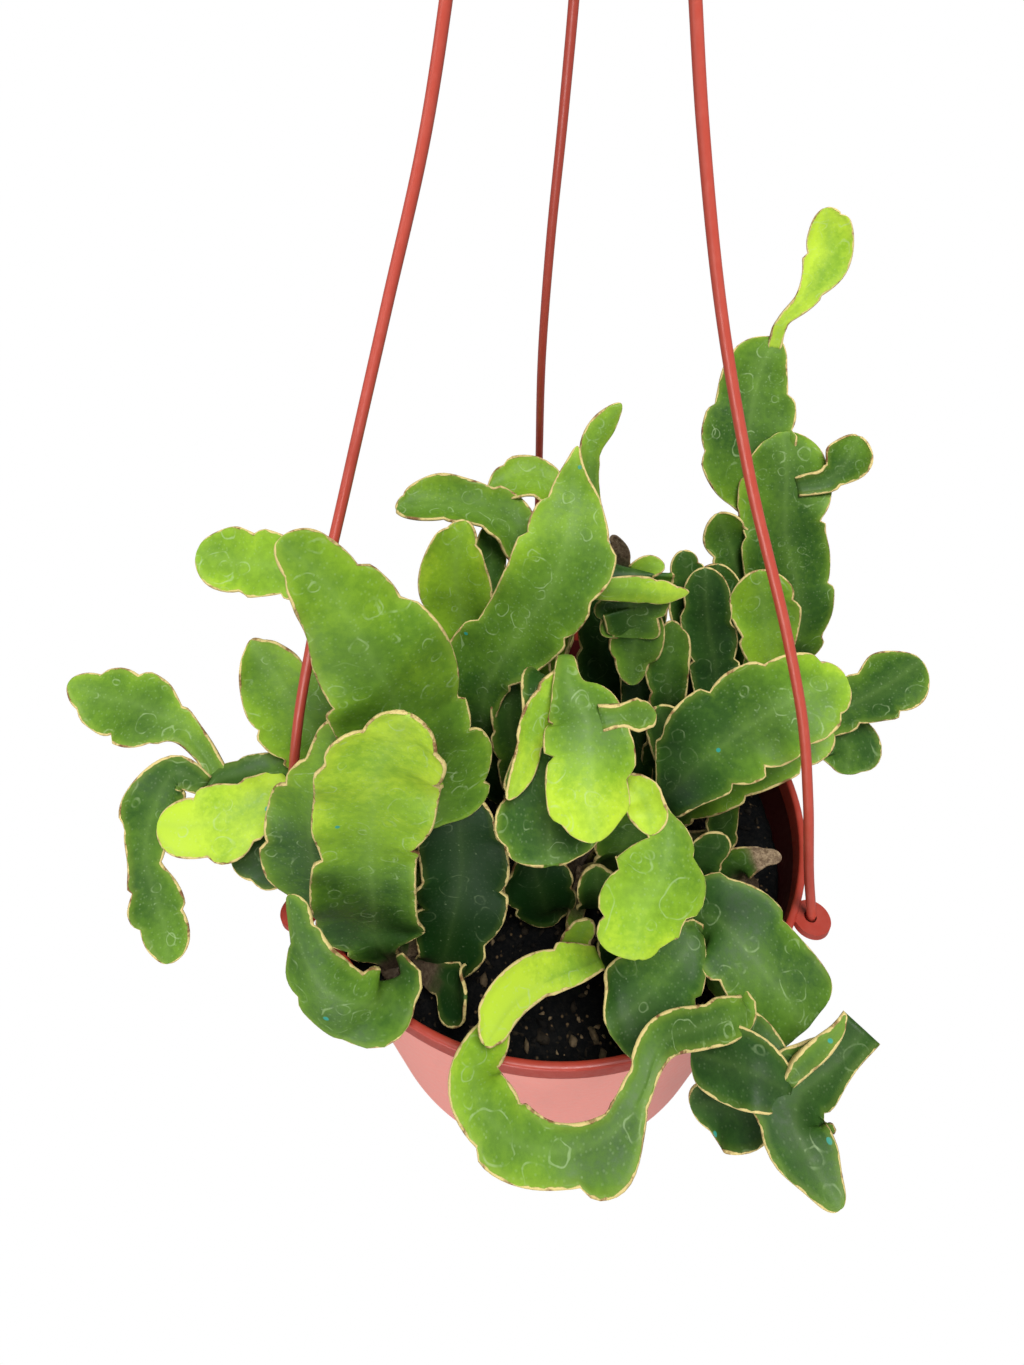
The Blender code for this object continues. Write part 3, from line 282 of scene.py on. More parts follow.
STEMS["leafy_stem_left"] = ((-46, -17, 5.0), {
    "trailing": Blade([(-46, -18, -17, 3), (-52, -20, 5, 3), (-62, -21, 27, 4), (-71, -22, 36, 4),
        (-84, -25, 38, 3.5), (-93, -27, 36, 2.5)], (-20, 40), -0.3, 0.2),
    "side": Blade([(-48, -17, -17, 3), (-50, -22, 10, 6), (-56, -22, 30, 8), (-61, -19, 45, 11, 10),
        (-67, -16, 58, 12, 10), (-72, -14, 68, 7, 6), (-75, -13, 74, 2, 3)], [(0, 25), (-5, 35)], 0.15,
        (0.35, 0.55, 0.65)),
    "upper": Blade([(-44, -16, -17, 3), (-40, -16, 10, 6), (-40, -16, 30, 7), (-42, -16, 55, 6),
        (-46, -16, 78, 4), (-57, -14, 93, 5), (-66, -11, 95, 7), (-76, -9, 95, 7.5, 8),
        (-85, -7, 96.5, 4.5, 5)], [(5, 25), (10, 40)], 0.1, 0.7),
    "outer": Blade([(-86.5, -25.4, 36.6, 2.5), (-92, -20, 42, 2.5, 3), (-98, -16, 47, 4.5, 4),
        (-104, -14, 49, 9, 7), (-110, -12, 50.5, 10, 8), (-121, -10, 52, 7, 6.5), (-129, -8, 54.5, 2.5, 3)],
        (10, 50), 0.1, 0.55, left=(22, 34, 45), right=(20, 33, 44)),
    "hanging": Blade([(-90, -27, 37, 2.5), (-96, -27, 42, 4), (-102, -31, 34, 8, 7.5), (-104, -39, 23, 4),
        (-100, -46, 15, 6, 7), (-98, -50, 10, 6), (-97, -55, 5, 4, 2.5)], [(20, 50), (10, 40)], 0.15, 0.35,
        left=(14, 33, 46), right=(24, 38, 47)),
    "bright": Blade([(-71, -23, 35, 3), (-76, -30, 35, 6), (-82, -34, 34, 10, 8), (-90, -36, 33, 8),
        (-99.5, -36, 34, 4.5, 5)], (10, 55), 0.1, 0.9, left=(13, 21), right=(10, 25)),
    "notched": Blade([(-60, -21, 22, 3), (-69, -26, 19, 6, 5), (-76, -32, 18, 9.5, 8), (-84, -37, 18, 6, 5)],
        (0, 45), 0.1, 0.25),
    "rear": Blade([(-47, -12, -16, 3), (-53, 2, 2, 6), (-58, 16, 16, 8), (-62, 28, 24, 7), (-66, 38, 26, 3)],
        [(180, 60), (180, 40)], 0.2, 0.35),
})
STEMS["leafy_stem_back_left"] = ((-12, 8, 6.0), {
    "diagonal": Blade([(-13, 6, -17, 3), (-16, 0, 2, 6, 5), (-18, -3, 20, 8, 6), (-19, -8, 44, 10, 4),
        (-17, -7, 54, 13, 6), (-13, -6, 61, 13, 8), (-8, -4.5, 70, 11, 10.5), (-2, -3, 79, 11.5, 11),
        (3, 3, 91, 11, 12), (4.5, 10, 97, 8), (5, 15, 102, 4.5), (5.5, 17, 106, 2.2),
        (6.3, 19.5, 109.5, 0.6)], [(0, 30), (-5, 40), (-15, 40)], 0.1, (0.15, 0.3, 0.45, 0.7),
        left=(62, 86, 117, 128), right=(75, 97, 106, 118)),
    "diagonal_tip": Blade([(12, 12, 91, 1), (10, 16.5, 98, 2), (9.5, 19, 104, 3), (10.5, 21.5, 109, 3.6),
        (13.5, 23.5, 113.5, 3.3), (17.5, 25.5, 118.5, 1)], (25, 25), -0.2, 0.5, left=(14,), right=(17,)),
    "level": Blade([(-10, 9, -17, 3), (-7, 14, 10, 6), (-6, 18, 40, 6), (-6, 25, 68, 6), (-13, 29, 79, 8),
        (-28, 29, 85, 8), (-43, 25, 87, 5)], [(0, 30), (0, 80), (0, 70)], 0.5, 0.42),
    "arched": Blade([(-9, 8, -17, 3), (-4, 16, 15, 6), (2, 25, 50, 6), (7, 38, 73, 5), (0, 42, 83, 7),
        (-8, 43, 84, 8), (-18, 41, 83, 4)], [(0, 30), (0, 75), (0, 70)], 0.4, 0.55),
    "upright": Blade([(-14, 8, -17, 3), (-18, 6, 10, 6), (-22, 4, 36, 7), (-24, 8, 56, 10, 9),
        (-26, 10, 73, 10, 9), (-25, 13, 84, 6.5, 6), (-23, 15, 90, 3.5)], (0, 30), 0.2, (0.35, 0.6, 0.7)),
    "dark": Blade([(-12, 10, -17, 3), (-16, 10, 10, 6), (-19, 11, 40, 6), (-18, 18, 58, 6),
        (-17, 24, 71, 5, 4.5), (-17, 28, 80, 3)], (10, 30), 0.2, 0.2),
    "young": Blade([(-12, 3, -16, 3), (-10, -6, 4, 4), (-10, -9, 20, 5), (-12, -8, 43, 5, 5.5),
        (-12, -5, 56, 3)], (0, 30), 0.2, 0.3),
    "rear_left": Blade([(-14, 10, -16, 4), (-17, 18, 0, 5), (-23, 30, 9, 7), (-30, 43, 20, 9),
        (-37, 57, 27, 7), (-42, 67, 27, 3)], [(180, 60), (180, 40)], 0.2, 0.4),
    "rear_right": Blade([(-9, 10, -16, 4), (-6, 19, 0, 5), (-1, 32, 8, 7), (3, 46, 18, 9), (5, 59, 25, 8, 7),
        (4, 69, 26, 3)], [(180, 60), (180, 40)], 0.2, 0.5),
})
STEMS["leafy_stem_centre"] = ((10, -15, 6.0), {
    "folded": Blade([(10, -13, -17, 3), (8, -12, 8, 6, 5), (6, -12, 30, 6), (2, -13, 55, 6),
        (-1, -19.5, 65, 7), (0, -25.5, 60, 8), (0, -32, 53, 10), (-1.5, -39, 47, 11.5),
        (-2.5, -45, 42, 11.5), (-2, -50, 38, 8)],
        [(180, 20), (180, 20), (180, 30), (180, 60), (0, 75), (0, 45), (0, 40)], 0.1, (0.1, 0.2, 0.35),
        right=(95, 112, 121, 127), left=(104, 118, 125), blunt=1.5),
    "folded_edge": Blade([(2, -20, 71, 2, 1), (-2.5, -26, 68, 4, 3.5), (-6.5, -33, 61.5, 4, 3.8),
        (-9, -39, 56, 3), (-12, -43.5, 53, 1)], (45, 45), 0.1, 0.85, right=(8, 20)),
    "spotted": Blade([(2, -13, 62, 2), (2, -20, 73, 2), (2.5, -27.5, 72, 4), (4.5, -31, 70.5, 7.5),
        (6, -34.5, 69, 8.3), (6, -38, 67, 9.3), (6.5, -42, 64.5, 9.5), (6, -46.5, 61, 8.7),
        (6, -51, 57.5, 7.7), (7, -55, 54.5, 5)], [(180, 60), (0, 70), (5, 60), (5, 55)], -0.2,
        (0.35, 0.55, 0.84), left=(40, 54), right=(26, 36, 50)),
    "spotted_flap": Blade([(9, -34, 68.5, 3), (14, -33, 68.5, 2.5), (17.5, -32, 67.5, 3.6),
        (20.5, -31, 66.5, 3), (22.5, -30, 66, 1)], (10, 50), 0.3, 0.45),
    "drooping": Blade([(12, -15.5, -17, 2.5), (18, -28, 20, 4), (20, -34, 44, 3), (21.5, -41, 51, 2),
        (23, -45.5, 50, 2), (24, -49, 47, 5), (23, -53, 44.5, 8), (21.5, -56.5, 41.5, 9.7), (18, -60, 38, 9),
        (16, -63.5, 34.5, 8.5), (16, -67, 31, 6)],
        [(180, 20), (180, 20), (180, 30), (180, 60), (0, 80), (0, 55), (0, 45)], -0.3,
        (0.15, 0.3, 0.5, 0.75), left=(86, 96, 108), right=(84, 97, 104, 110), blunt=1.4),
    "drooping_curl": Blade([(15.5, -36, 50, 1), (17.5, -39, 51.5, 3), (19.5, -41.5, 50.5, 4.2),
        (20, -45, 50.1, 4.5), (20, -48.5, 47, 2.5)], (-20, 50), 0.2, 0.85),
    "behind_drooping": Blade([(12, -17, -17, 3), (16, -31, 10, 5), (17, -37, 28, 7), (19, -39, 40, 6),
        (21, -41, 48, 3)], (0, 40), 0.3, 0.45),
    "small": Blade([(11, -18, -16, 3), (11, -34, -7, 4), (11, -39, 8, 5.5), (10, -38, 19, 4)], (0, 35), 0.2,
        0.35),
    "low_left": Blade([(7, -18, -14.5, 3), (-1, -34, -9, 5), (-4, -37, 6, 9), (-7, -35, 20, 6)], (0, 35),
        0.15, 0.1),
    "low_right": Blade([(13, -19, -16, 3), (20, -38, -11, 4), (18, -46, -8, 6), (11, -46, -2, 5)], (0, 60),
        0.1, 0.1),
    "tip": Blade([(9.5, -19, -13.5, 2), (4.5, -42, -11, 3), (4, -47, -3, 4), (8, -47, 10, 2.5)], (0, 45),
        0.1, 0.8),
})
STEMS["leafy_stem_right"] = ((29, -4, 6.0), {
    "curled_lip": Blade([(27, -3, -17, 4), (27, 4, 20, 5), (26, 10, 45, 6), (24, 12, 65, 8), (22, 10, 76, 9),
        (21, 6, 79, 10), (21, 4, 74, 9.5), (20.5, 3, 67, 8.7), (20.5, 2, 60, 8)],
        [(180, 20), (180, 20), (180, 20), (180, 20), (180, 45), (0, 80), (0, 25)], 0.1,
        (0.0, 0.0, 0.0, 0.05, 0.35), right=(108, 114), left=(112,), blunt=2.0),
    "lip": Blade([(10.5, 0.5, 78, 2, 2.5), (19.5, 0, 78.5, 3, 3.5), (28.5, 0.5, 76.5, 3),
        (35, 1.5, 76, 0.8)], (0, 20), -0.2, 0.8, left=(15, 21)),
    "lip_top": Blade([(22, 8, 77, 3), (25, 7, 80, 3), (29, 6, 81, 2)], (0, 40), 0.1, 0.6),
    "lip_lobe": Blade([(20.5, 3, 70, 7), (22.5, 2.5, 61, 7), (22, 1.5, 52, 5.5), (22.5, -0.5, 44.5, 2)],
        (0, 30), 0.1, 0.3, right=(8, 17)),
    "wide": Blade([(29, -6, -17, 3), (27, -18, 10, 4), (29, -27, 33, 3.5, 6), (37, -26, 45, 13, 9),
        (48, -23, 54, 13, 11), (61, -19, 60, 10), (73, -15, 61, 5, 6)], [(0, 30), (0, 50), (10, 50)], 0.2,
        (0.0, 0.0, 0.05, 0.14, 0.55, 0.66), left=(66, 80, 93, 105), right=(70, 80, 91, 104)),
    "under": Blade([(31, -5, -17, 3), (37, -17, 12, 4), (44, -21, 28, 7, 6), (52, -21, 35, 8, 6),
        (64, -18, 41, 6), (73, -15, 43, 3, 4)], (0, 60), 0.1, 0.5),
    "wedge": Blade([(33, -7, -16, 2), (50, -16, -3, 4), (48, -15, 14, 5), (51, -15, 25, 3)], (0, 45), 0.1,
        0.35),
    "outer": Blade([(31, -2, -17, 3), (43, 0, -2, 4), (55, 1, 10, 5), (74, 3, 26, 6), (84, 2, 32, 6.5),
        (89, 2, 36, 7), (96, 3, 41, 9), (104, 5, 48, 5, 6)], (0, 45), 0.1, 0.3),
    "outer_low": Blade([(74, 3, 26, 3), (84, 0, 24, 7, 9), (87, -3, 20, 9, 11), (86, -7, 14, 6, 8)], (0, 50),
        0.1, 0.25),
    "behind_lip": Blade([(29, -2, -16, 3), (33, 2, 8, 5), (34, 1, 28, 6), (33, 0, 39, 5.5), (32, 2, 48, 5.5),
        (33, 5, 56, 4.7), (33, 7, 61.5, 3)], (0, 30), 0.2, 0.2),
    "shadow": Blade([(27, 1, -16, 3), (20, 14, 10, 7), (16, 20, 35, 7), (17, 24, 52, 7.5), (18.5, 28, 62, 6),
        (20.5, 27, 70, 3), (17.5, 26, 77, 1.2)], (0, 30), 0.15, 0.05, dry=0.14),
    "beside_lip": Blade([(28, -7, -16, 3), (34, -9, 4, 4), (37, -9, 15, 5), (34, -8, 28, 6),
        (29, -5, 41, 5)], (0, 35), 0.2, 0.25),
    "below_wide": Blade([(30, -9, -16, 2), (39, -28, -7, 3), (40, -29, 5, 5), (46, -27, 15, 4)], (0, 40),
        0.1, 0.15),
    "rear": Blade([(30, 0, -16, 4), (31, 16, 5, 7), (28, 32, 20, 8), (23, 46, 28, 7), (19, 56, 29, 3)],
        [(180, 60), (180, 40)], 0.2, 0.4),
})
STEMS["leafy_stem_back_right"] = ((52, 26, 6.0), {
    "large": Blade([(54, 27, -17, 3), (60, 27, 1, 4), (68, 28, 13, 4), (76, 30, 24, 6), (79, 29, 34, 9, 7.5),
        (77, 34, 52, 14, 11), (73, 41, 68, 13, 11), (73, 50, 84, 12, 12.5), (72, 56, 94, 7, 8)],
        [(-10, 30), (-15, 30)], -0.1, (0.28, 0.4, 0.46), right=(40, 60, 75, 97, 110)),
    "curl": Blade([(76, 47, 80, 3), (86, 47, 83, 4), (89.5, 48, 87, 6.5, 6), (93, 51, 95, 4.5)], (-20, 30),
        0.4, 0.3),
    "flap": Blade([(52, 27, -17, 3), (56, 32, 5, 5), (60, 36, 24, 6), (60, 42, 54, 6), (56, 45, 64, 7),
        (53, 46, 71, 5)], (-10, 30), 0.2, 0.3),
    "second": Blade([(53, 28, -17, 3), (60, 33, 8, 6), (66, 38, 30, 7), (70, 44, 60, 6), (68, 50, 73, 10),
        (63, 57, 87, 14, 13), (64, 64, 101, 12), (67, 69, 112, 9, 7), (71, 72, 118, 3)],
        [(-10, 25), (-15, 20)], 0.1, 0.42, left=(92, 112, 124), right=(104, 118, 130)),
    "top": Blade([(70, 71, 115, 2), (71, 72, 122, 2), (77, 73, 130, 2.7, 3.6), (82.5, 76, 139, 6.5, 6),
        (83, 79, 147, 5.8), (81, 81, 154, 4)], (-15, 15), 0.1, 0.9),
    "bright": Blade([(53, 24, -17, 3), (58, 21, 2, 5), (60, 18, 20, 5), (64, 9, 40, 5), (62, 10, 50, 7),
        (60, 13, 60, 9), (58, 17, 71, 7)], (-10, 30), 0.15, 0.65),
    "slim": Blade([(50, 25, -17, 3), (51, 19, 0, 4), (51, 14, 15, 5), (50, 5, 28, 6), (48, 9, 41, 7, 6.5),
        (45, 15, 56, 7), (44, 21, 69, 5)], (-10, 30), 0.15, 0.1),
    "slim_dark": Blade([(50, 27, -16, 3), (47, 22.5, 2, 4), (46, 18, 20, 5), (42, 18, 44, 6),
        (41, 24, 60, 5.5), (39, 28, 70, 4)], (-5, 30), 0.15, 0.1),
    "right_back": Blade([(52, 22, -16, 3), (54, 17, 5, 6), (52, 18, 28, 7.5), (51.5, 23.5, 39, 8.5),
        (51, 30, 49.5, 9), (52, 34.5, 60, 6)], (-5, 30), 0.15, 0.15),
    "rear": Blade([(51, 30, -16, 3), (46, 41, 4, 7), (40, 52, 18, 9, 8), (35, 61, 25, 6), (32, 68, 26, 3)],
        [(180, 60), (180, 40)], 0.2, 0.35),
})
STEMS["leafy_stem_front"] = ((35, -45, 6.0), {
    "ribbon": Blade([(35, -47, -17, 3), (37, -55, -1, 3), (41, -64, 7, 3), (41, -69, 12, 3),
        (36, -72, 15, 4), (30, -74, 17, 4), (19, -80, 22, 3, 4), (15, -87, 20, 2, 4),
        (12, -90.5, 19, 4, 3.5), (7, -94, 18.5, 7.5, 3.6), (-2, -96.5, 19, 5.5, 4.2),
        (-13, -93, 17.5, 6, 6.5), (-19, -85, 17, 5.5), (-18, -78, 15, 4, 5), (-13, -72, 13, 3)],
        [(0, 60), (0, 40), (0, 60), (0, 60), (0, 60), (0, 65), (0, 75)], 0.1,
        (0.4, 0.4, 0.4, 0.36, 0.56, 0.6), left=(74, 90, 107)),
    "arm": Blade([(9.5, -56.5, 9, 2.5, 3), (4, -60, 12, 2.8, 5.5), (-3, -64, 15, 2.8, 6.5),
        (-11, -70, 18, 2.8, 6), (-17, -79, 20, 2.8, 4.5)], [(0, 75), (0, 60), (0, 55)], 0.1,
        (0.9, 1.05, 1.0), right=(12, 34)),
    "flat": Blade([(37, -43, -17, 3), (36.5, -42, -3, 4), (33.5, -47, 12, 6, 5), (39, -51, 16, 11.5, 9),
        (44, -57, 15, 13, 10.5), (49.5, -63, 11.5, 12.5, 10.5), (56, -69.5, 6, 10.5)], (0, 60), -0.15, 0.3,
        left=(37, 47), right=(34, 46), blunt=2.2),
    "rim_fan": Blade([(33, -46, -17, 3), (34, -48.5, 0, 3), (32.5, -53, 15, 3), (28.5, -58, 12.5, 7, 8),
        (21, -63, 7.5, 12, 11), (14.5, -67, 4.5, 11.5, 8.5), (10.5, -69, 4.5, 6)], (-15, 60), 0.1, 0.25,
        roll=[(0, 0), (0, 0), (-30, 0), (-40, 20), (-30, 10)]),
    "star_stalk": Blade([(40, -67, 7, 2.5), (44, -72, 9, 3), (47, -78, 8.5, 3), (49, -83, 7, 3)], (0, 60),
        0.1, 0.2),
    "star_down": Blade([(65, -74, 15.5, 4.3), (60.5, -77.5, 12, 3.3, 4.5), (55, -80.5, 9.5, 5.2, 6.5),
        (49, -84, 7, 7.7), (47.5, -89, 6, 8.2, 8), (49.5, -93.5, 5, 6.5, 6.3), (51, -97, 4.5, 4.2, 4),
        (53, -101, 4, 2)], (0, 60), -0.1, 0.22, right=(25,), blunt=1.3),
    "star_point": Blade([(48, -81, 8, 1.5), (51, -79.5, 13.5, 2), (54.5, -78, 17, 2), (57.5, -76.5, 21, 1.3),
        (59, -75, 24.5, 0.6)], (-20, 40), 0.1, 0.3),
    "star_left": Blade([(48, -83, 7.5, 5), (41, -80, 9.5, 6.7), (35, -77, 7.5, 6.7), (29, -74, 5, 5)],
        (0, 60), 0.1, 0.15, blunt=1.5),
    "star_back": Blade([(49, -83, 5, 3), (46, -82, 0, 5.5), (40.5, -81.5, -3, 7.5, 6),
        (34.5, -79.5, -7, 7.5, 6), (29.5, -79.5, -10, 4.5)], (0, 60), 0.2, 0.1),
})
STEMS["cut_stem"] = ((57, -24, 3.5), {
    "cut": Blade([(57, -24, -17, 2), (52, -24, -10, 4), (52.5, -24.5, -2.5, 4.8), (56.5, -25, 1, 3.3),
        (64, -25.5, 2.5, 1.8)], (0, 45), 0.1, 0.3, dry=0.3),
})


def world(points):
    """Points of the pot's frame in millimetres as points of the model in metres."""
    return (np.asarray(points, float) + (0.0, 0.0, RIM_Z)) * MM


def add_object(name, data):
    obj = bpy.data.objects.new(name, data)
    bpy.context.scene.collection.objects.link(obj)
    return obj


def store(mesh, key, values):
    """Keeps a number for each of a mesh's points."""
    layer = mesh.attributes.new(key, "FLOAT", "POINT")
    layer.data.foreach_set("value", np.asarray(values, np.float32))


def mesh_object(name, mat, shape):
    """A smooth mesh object of a shape."""
    points, faces, values = shape
    mesh = bpy.data.meshes.new(name)
    mesh.from_pydata(world(points).tolist(), [], faces)
    mesh.validate()
    for key, data in values.items():
        store(mesh, key, data)
    mesh.shade_smooth()
    mesh.materials.append(mat)
    return add_object(name, mesh)


def settle(obj, node):
    """The piece moves with the model and stands for a node, whose own part is hidden."""
    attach(obj, "root")
    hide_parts(node)


def joined(shapes):
    """Several shapes as one. All of them keep the same values."""
    points, faces, values, start = [], [], {}, 0
    for own_points, own_faces, own_values in shapes:
        points.append(own_points)
        faces += [tuple(v + start for v in face) for face in own_faces]
        for key, data in own_values.items():
            values.setdefault(key, []).append(data)
        start += len(own_points)
    return np.concatenate(points), faces, {key: np.concatenate(data) for key, data in values.items()}


def loop_faces(rows, around):
    """Quads between closed loops of points, and a face over each end."""
    idx = np.arange(rows * around).reshape(rows, around)
    nxt = np.roll(idx, -1, axis=1)
    quads = np.stack([idx[:-1], nxt[:-1], nxt[1:], idx[1:]], axis=-1).reshape(-1, 4)
    return [tuple(face) for face in (*quads.tolist(), idx[0, ::-1].tolist(), idx[-1].tolist())]


class Shader:
    """A short way to write a material's nodes."""

    def __init__(self, name):
        self.mat = bpy.data.materials.new(name)
        self.mat.use_nodes = True
        self.tree = self.mat.node_tree
        self.main = self.tree.nodes["Principled BSDF"]

    def node(self, kind, **settings):
        made = self.tree.nodes.new("ShaderNode" + kind)
        for key, value in settings.items():
            setattr(made, key, value)
        return made

    def link(self, source, target):
        """Feeds an input with a number, a colour or another node's output."""
        if isinstance(source, (int, float)):
            target.default_value = source
        elif isinstance(source, tuple):
            target.default_value = (*source, 1.0)
        else:
            self.tree.links.new(source, target)

    def feed(self, made, **sources):
        """Feeds a node's inputs by name, with _ for each space in the name."""
        for key, source in sources.items():
            self.link(source, made.inputs[key.replace("_", " ")])

    def value(self, name):
        """A number stored at the mesh's points."""
        return self.node("Attribute", attribute_name=name).outputs["Fac"]

    def place(self):
        """The place on the object in millimetres."""
        scaled = self.node("VectorMath", operation="SCALE")
        self.link(self.node("TexCoord").outputs["Object"], scaled.inputs[0])
        self.feed(scaled, Scale=1 / MM)
        return scaled.outputs[0]

    def math(self, operation, a, b=0.0):
        made = self.node("Math", operation=operation)
        self.link(a, made.inputs[0])
        self.link(b, made.inputs[1])
        return made.outputs[0]

    def plus(self, a, b):
        return self.math("ADD", a, b)

    def times(self, a, b):
        return self.math("MULTIPLY", a, b)

    def span(self, source, low, high, to_low=0.0, to_high=1.0):
        """Maps low..high smoothly to to_low..to_high, and stops at its ends."""
        made = self.node("MapRange", interpolation_type="SMOOTHSTEP")
        self.feed(made, Value=source, From_Min=low, From_Max=high, To_Min=to_low, To_Max=to_high)
        return made.outputs["Result"]

    def noise(self, vector, scale, detail=2.0, rough=0.5):
        made = self.node("TexNoise")
        self.feed(made, Vector=vector, Scale=scale, Detail=detail, Roughness=rough)
        return made.outputs["Fac"]

    def cells(self, vector, scale, dimensions="3D"):
        """The distance to the middle of a cell of about 1 / scale mm, and its colour."""
        made = self.node("TexVoronoi", voronoi_dimensions=dimensions)
        self.feed(made, Vector=vector, Scale=scale)
        split = self.node("SeparateColor")
        self.link(made.outputs["Color"], split.inputs["Color"])
        return made.outputs["Distance"], split.outputs

    def spots(self, cells, edge, strength, chosen):
        """Soft round spots, in those cells whose random red is high enough."""
        distance, tone = cells
        return self.times(self.span(distance, *edge, strength, 0.0), self.span(tone["Red"], *chosen))

    def mix(self, share, a, b):
        made = self.node("Mix", data_type="RGBA")
        self.feed(made, Factor=share, A=a, B=b)
        return made.outputs["Result"]

    def bump(self, height, distance, strength):
        made = self.node("Bump")
        self.feed(made, Strength=strength, Distance=distance * MM, Height=height)
        return made.outputs["Normal"]

    def finish(self, colour, roughness, **settings):
        self.feed(self.main, Base_Color=colour, Roughness=roughness, **settings)
        return self.mat


def water_mark(s, flat, scale, least, most):
    """The pale outlines that dried drops leave, in cells of 1 / scale mm."""
    distance, tone = s.cells(flat, scale, "2D")
    reach = s.span(tone["Blue"], 0.0, 1.0, least, most)
    wobble = s.span(s.noise(flat, scale * 2.2, 1.0), 0.3, 0.7, -0.06, 0.06)
    away = s.math("ABSOLUTE", s.plus(s.math("SUBTRACT", distance, reach), wobble))
    line = s.span(away, 0.08 * scale, 0.28 * scale, 1.0, 0.0)
    return s.times(line, s.span(tone["Green"], 0.5, 0.54))


def flat_place(s):
    """The place on a blade laid flat, apart from every other blade's."""
    flat = s.node("CombineXYZ")
    s.feed(flat, X=s.plus(s.value("along"), s.times(s.value("plant"), 9.0)), Y=s.value("across"))
    return flat.outputs[0]


def blade_green(s, place, fine):
    """A blade's green, in soft patches, by its tint: partly its own tone and partly painted light and shade.
    """
    patches = s.span(s.noise(place, 0.045, 3.0), 0.25, 0.75, -0.16, 0.16)
    shade = s.plus(s.plus(s.value("tint"), patches), s.span(fine, 0.3, 0.7, -0.045, 0.045))
    ramp = s.node("ValToRGB")
    s.feed(ramp, Fac=s.plus(shade, s.span(s.value("rim"), 0.0, 6.0, 0.07, -0.03)))
    stops = ramp.color_ramp.elements
    for stop, (position, colour) in zip(stops, (GREENS[0], GREENS[-1])):
        stop.position = position
        stop.color = (*colour, 1)
    for position, colour in GREENS[1:-1]:
        stops.new(position).color = (*colour, 1)
    return ramp.outputs["Color"]


def midrib(s):
    """How much paler a blade is along its middle."""
    away = s.math("ABSOLUTE", s.value("across"))
    return s.plus(s.span(away, 0.0, 4.5, 0.12, 0.0), s.span(away, 0.0, 1.2, 0.09, 0.0))


def stem_material():
    """Waxy green with a pale corky margin, water marks, specks and woody stalks."""
    s = Shader("stem_green")
    place, flat = s.place(), flat_place(s)
    rim, tint, wood = s.value("rim"), s.value("tint"), s.value("wood")
    fine = s.noise(place, 0.6, 4.0, 0.65)
    grain = s.noise(place, 0.9, 5.0, 0.7)
    # Blades painted dark as shade deep in the plant show their marks faded by the same painted shade.
    lit = s.span(tint, 0.0, 0.5, 0.3, 1.0)
    patchy = s.times(s.span(s.noise(flat, 0.3), 0.42, 0.64, 0.03, 0.36), lit)
    width = s.plus(rim, s.span(s.noise(place, 0.35, 3.0), 0.3, 0.7, -0.22, 0.22))
    cork = s.span(width, 0.32, 0.5, 1.0, 0.0)
    cork_tone = s.mix(s.span(s.noise(place, 0.22, 4.0, 0.7), 0.48, 0.66), CORK_PALE, CORK_DARK)
    halo = s.times(s.span(rim, 0.5, 2.2, 0.25, 0.0), lit)
    wood_tone = s.mix(s.span(grain, 0.35, 0.7), WOOD_DARK, WOOD_PALE)
    # Woody parts with a low tint, deep in the plant and at the root, are painted nearly black as shade.
    wood_tone = s.mix(s.span(tint, 0.0, 0.3, 0.85, 0.0), wood_tone, WOOD_PAINTED_SHADE)
    layers = [
        (s.times(midrib(s), lit), RIB_GREEN),
        (s.times(water_mark(s, flat, 0.085, 0.16, 0.36), patchy), MARK_PALE),
        (s.times(water_mark(s, flat, 0.15, 0.12, 0.3), patchy), MARK_PALE),
        (s.spots(s.cells(flat, 0.035, "2D"), (0.0154, 0.022), 0.85, (0.70, 0.72)), DOT_TEAL),
        (s.spots(s.cells(place, 0.5), (0.06, 0.15), 0.25, (0.74, 0.8)), SPECK_PALE),
        (s.times(s.spots(s.cells(flat, 0.9, "2D"), (0.10, 0.28), 0.11, (0.55, 0.7)), lit), DUST_PALE),
        (cork, cork_tone),
        (s.times(halo, s.math("SUBTRACT", 1.0, cork)), HALO_GREEN),
        (wood, wood_tone)]
    colour = blade_green(s, place, fine)
    for share, tone in layers:
        colour = s.mix(share, colour, tone)
    rough = s.plus(s.span(fine, 0.3, 0.7, 0.40, 0.54), s.times(cork, 0.3))
    height = s.plus(s.times(fine, 0.25), s.times(cork, 0.7))
    height = s.plus(height, s.times(s.times(grain, wood), 1.5))
    return s.finish(colour, rough, Normal=s.bump(height, 0.35, 0.6), Specular_IOR_Level=0.16)


def plastic_material(name, base, worn, roughness, sides=None):
    """Moulded plastic with faint scuffs, and a painted colour on each of the given sides: on the pot,
    painted glare on its outer wall and painted shade on its inner wall.
    """
    s = Shader(name)
    place = s.place()
    scuffs = s.span(s.noise(place, 0.25, 5.0, 0.7), 0.45, 0.75)
    colour = s.mix(s.times(scuffs, 0.25), base, worn)
    # Each given side gets a painted colour: on the pot, painted glare outside and painted shade inside.
    for side, tone in (sides or {}).items():
        colour = s.mix(s.value(side), colour, tone)
    rough = s.span(s.noise(place, 0.6, 3.0), 0.3, 0.7, roughness - 0.06, roughness + 0.08)
    return s.finish(colour, rough, Normal=s.bump(s.noise(place, 1.2, 3.0), 0.03, 0.4))


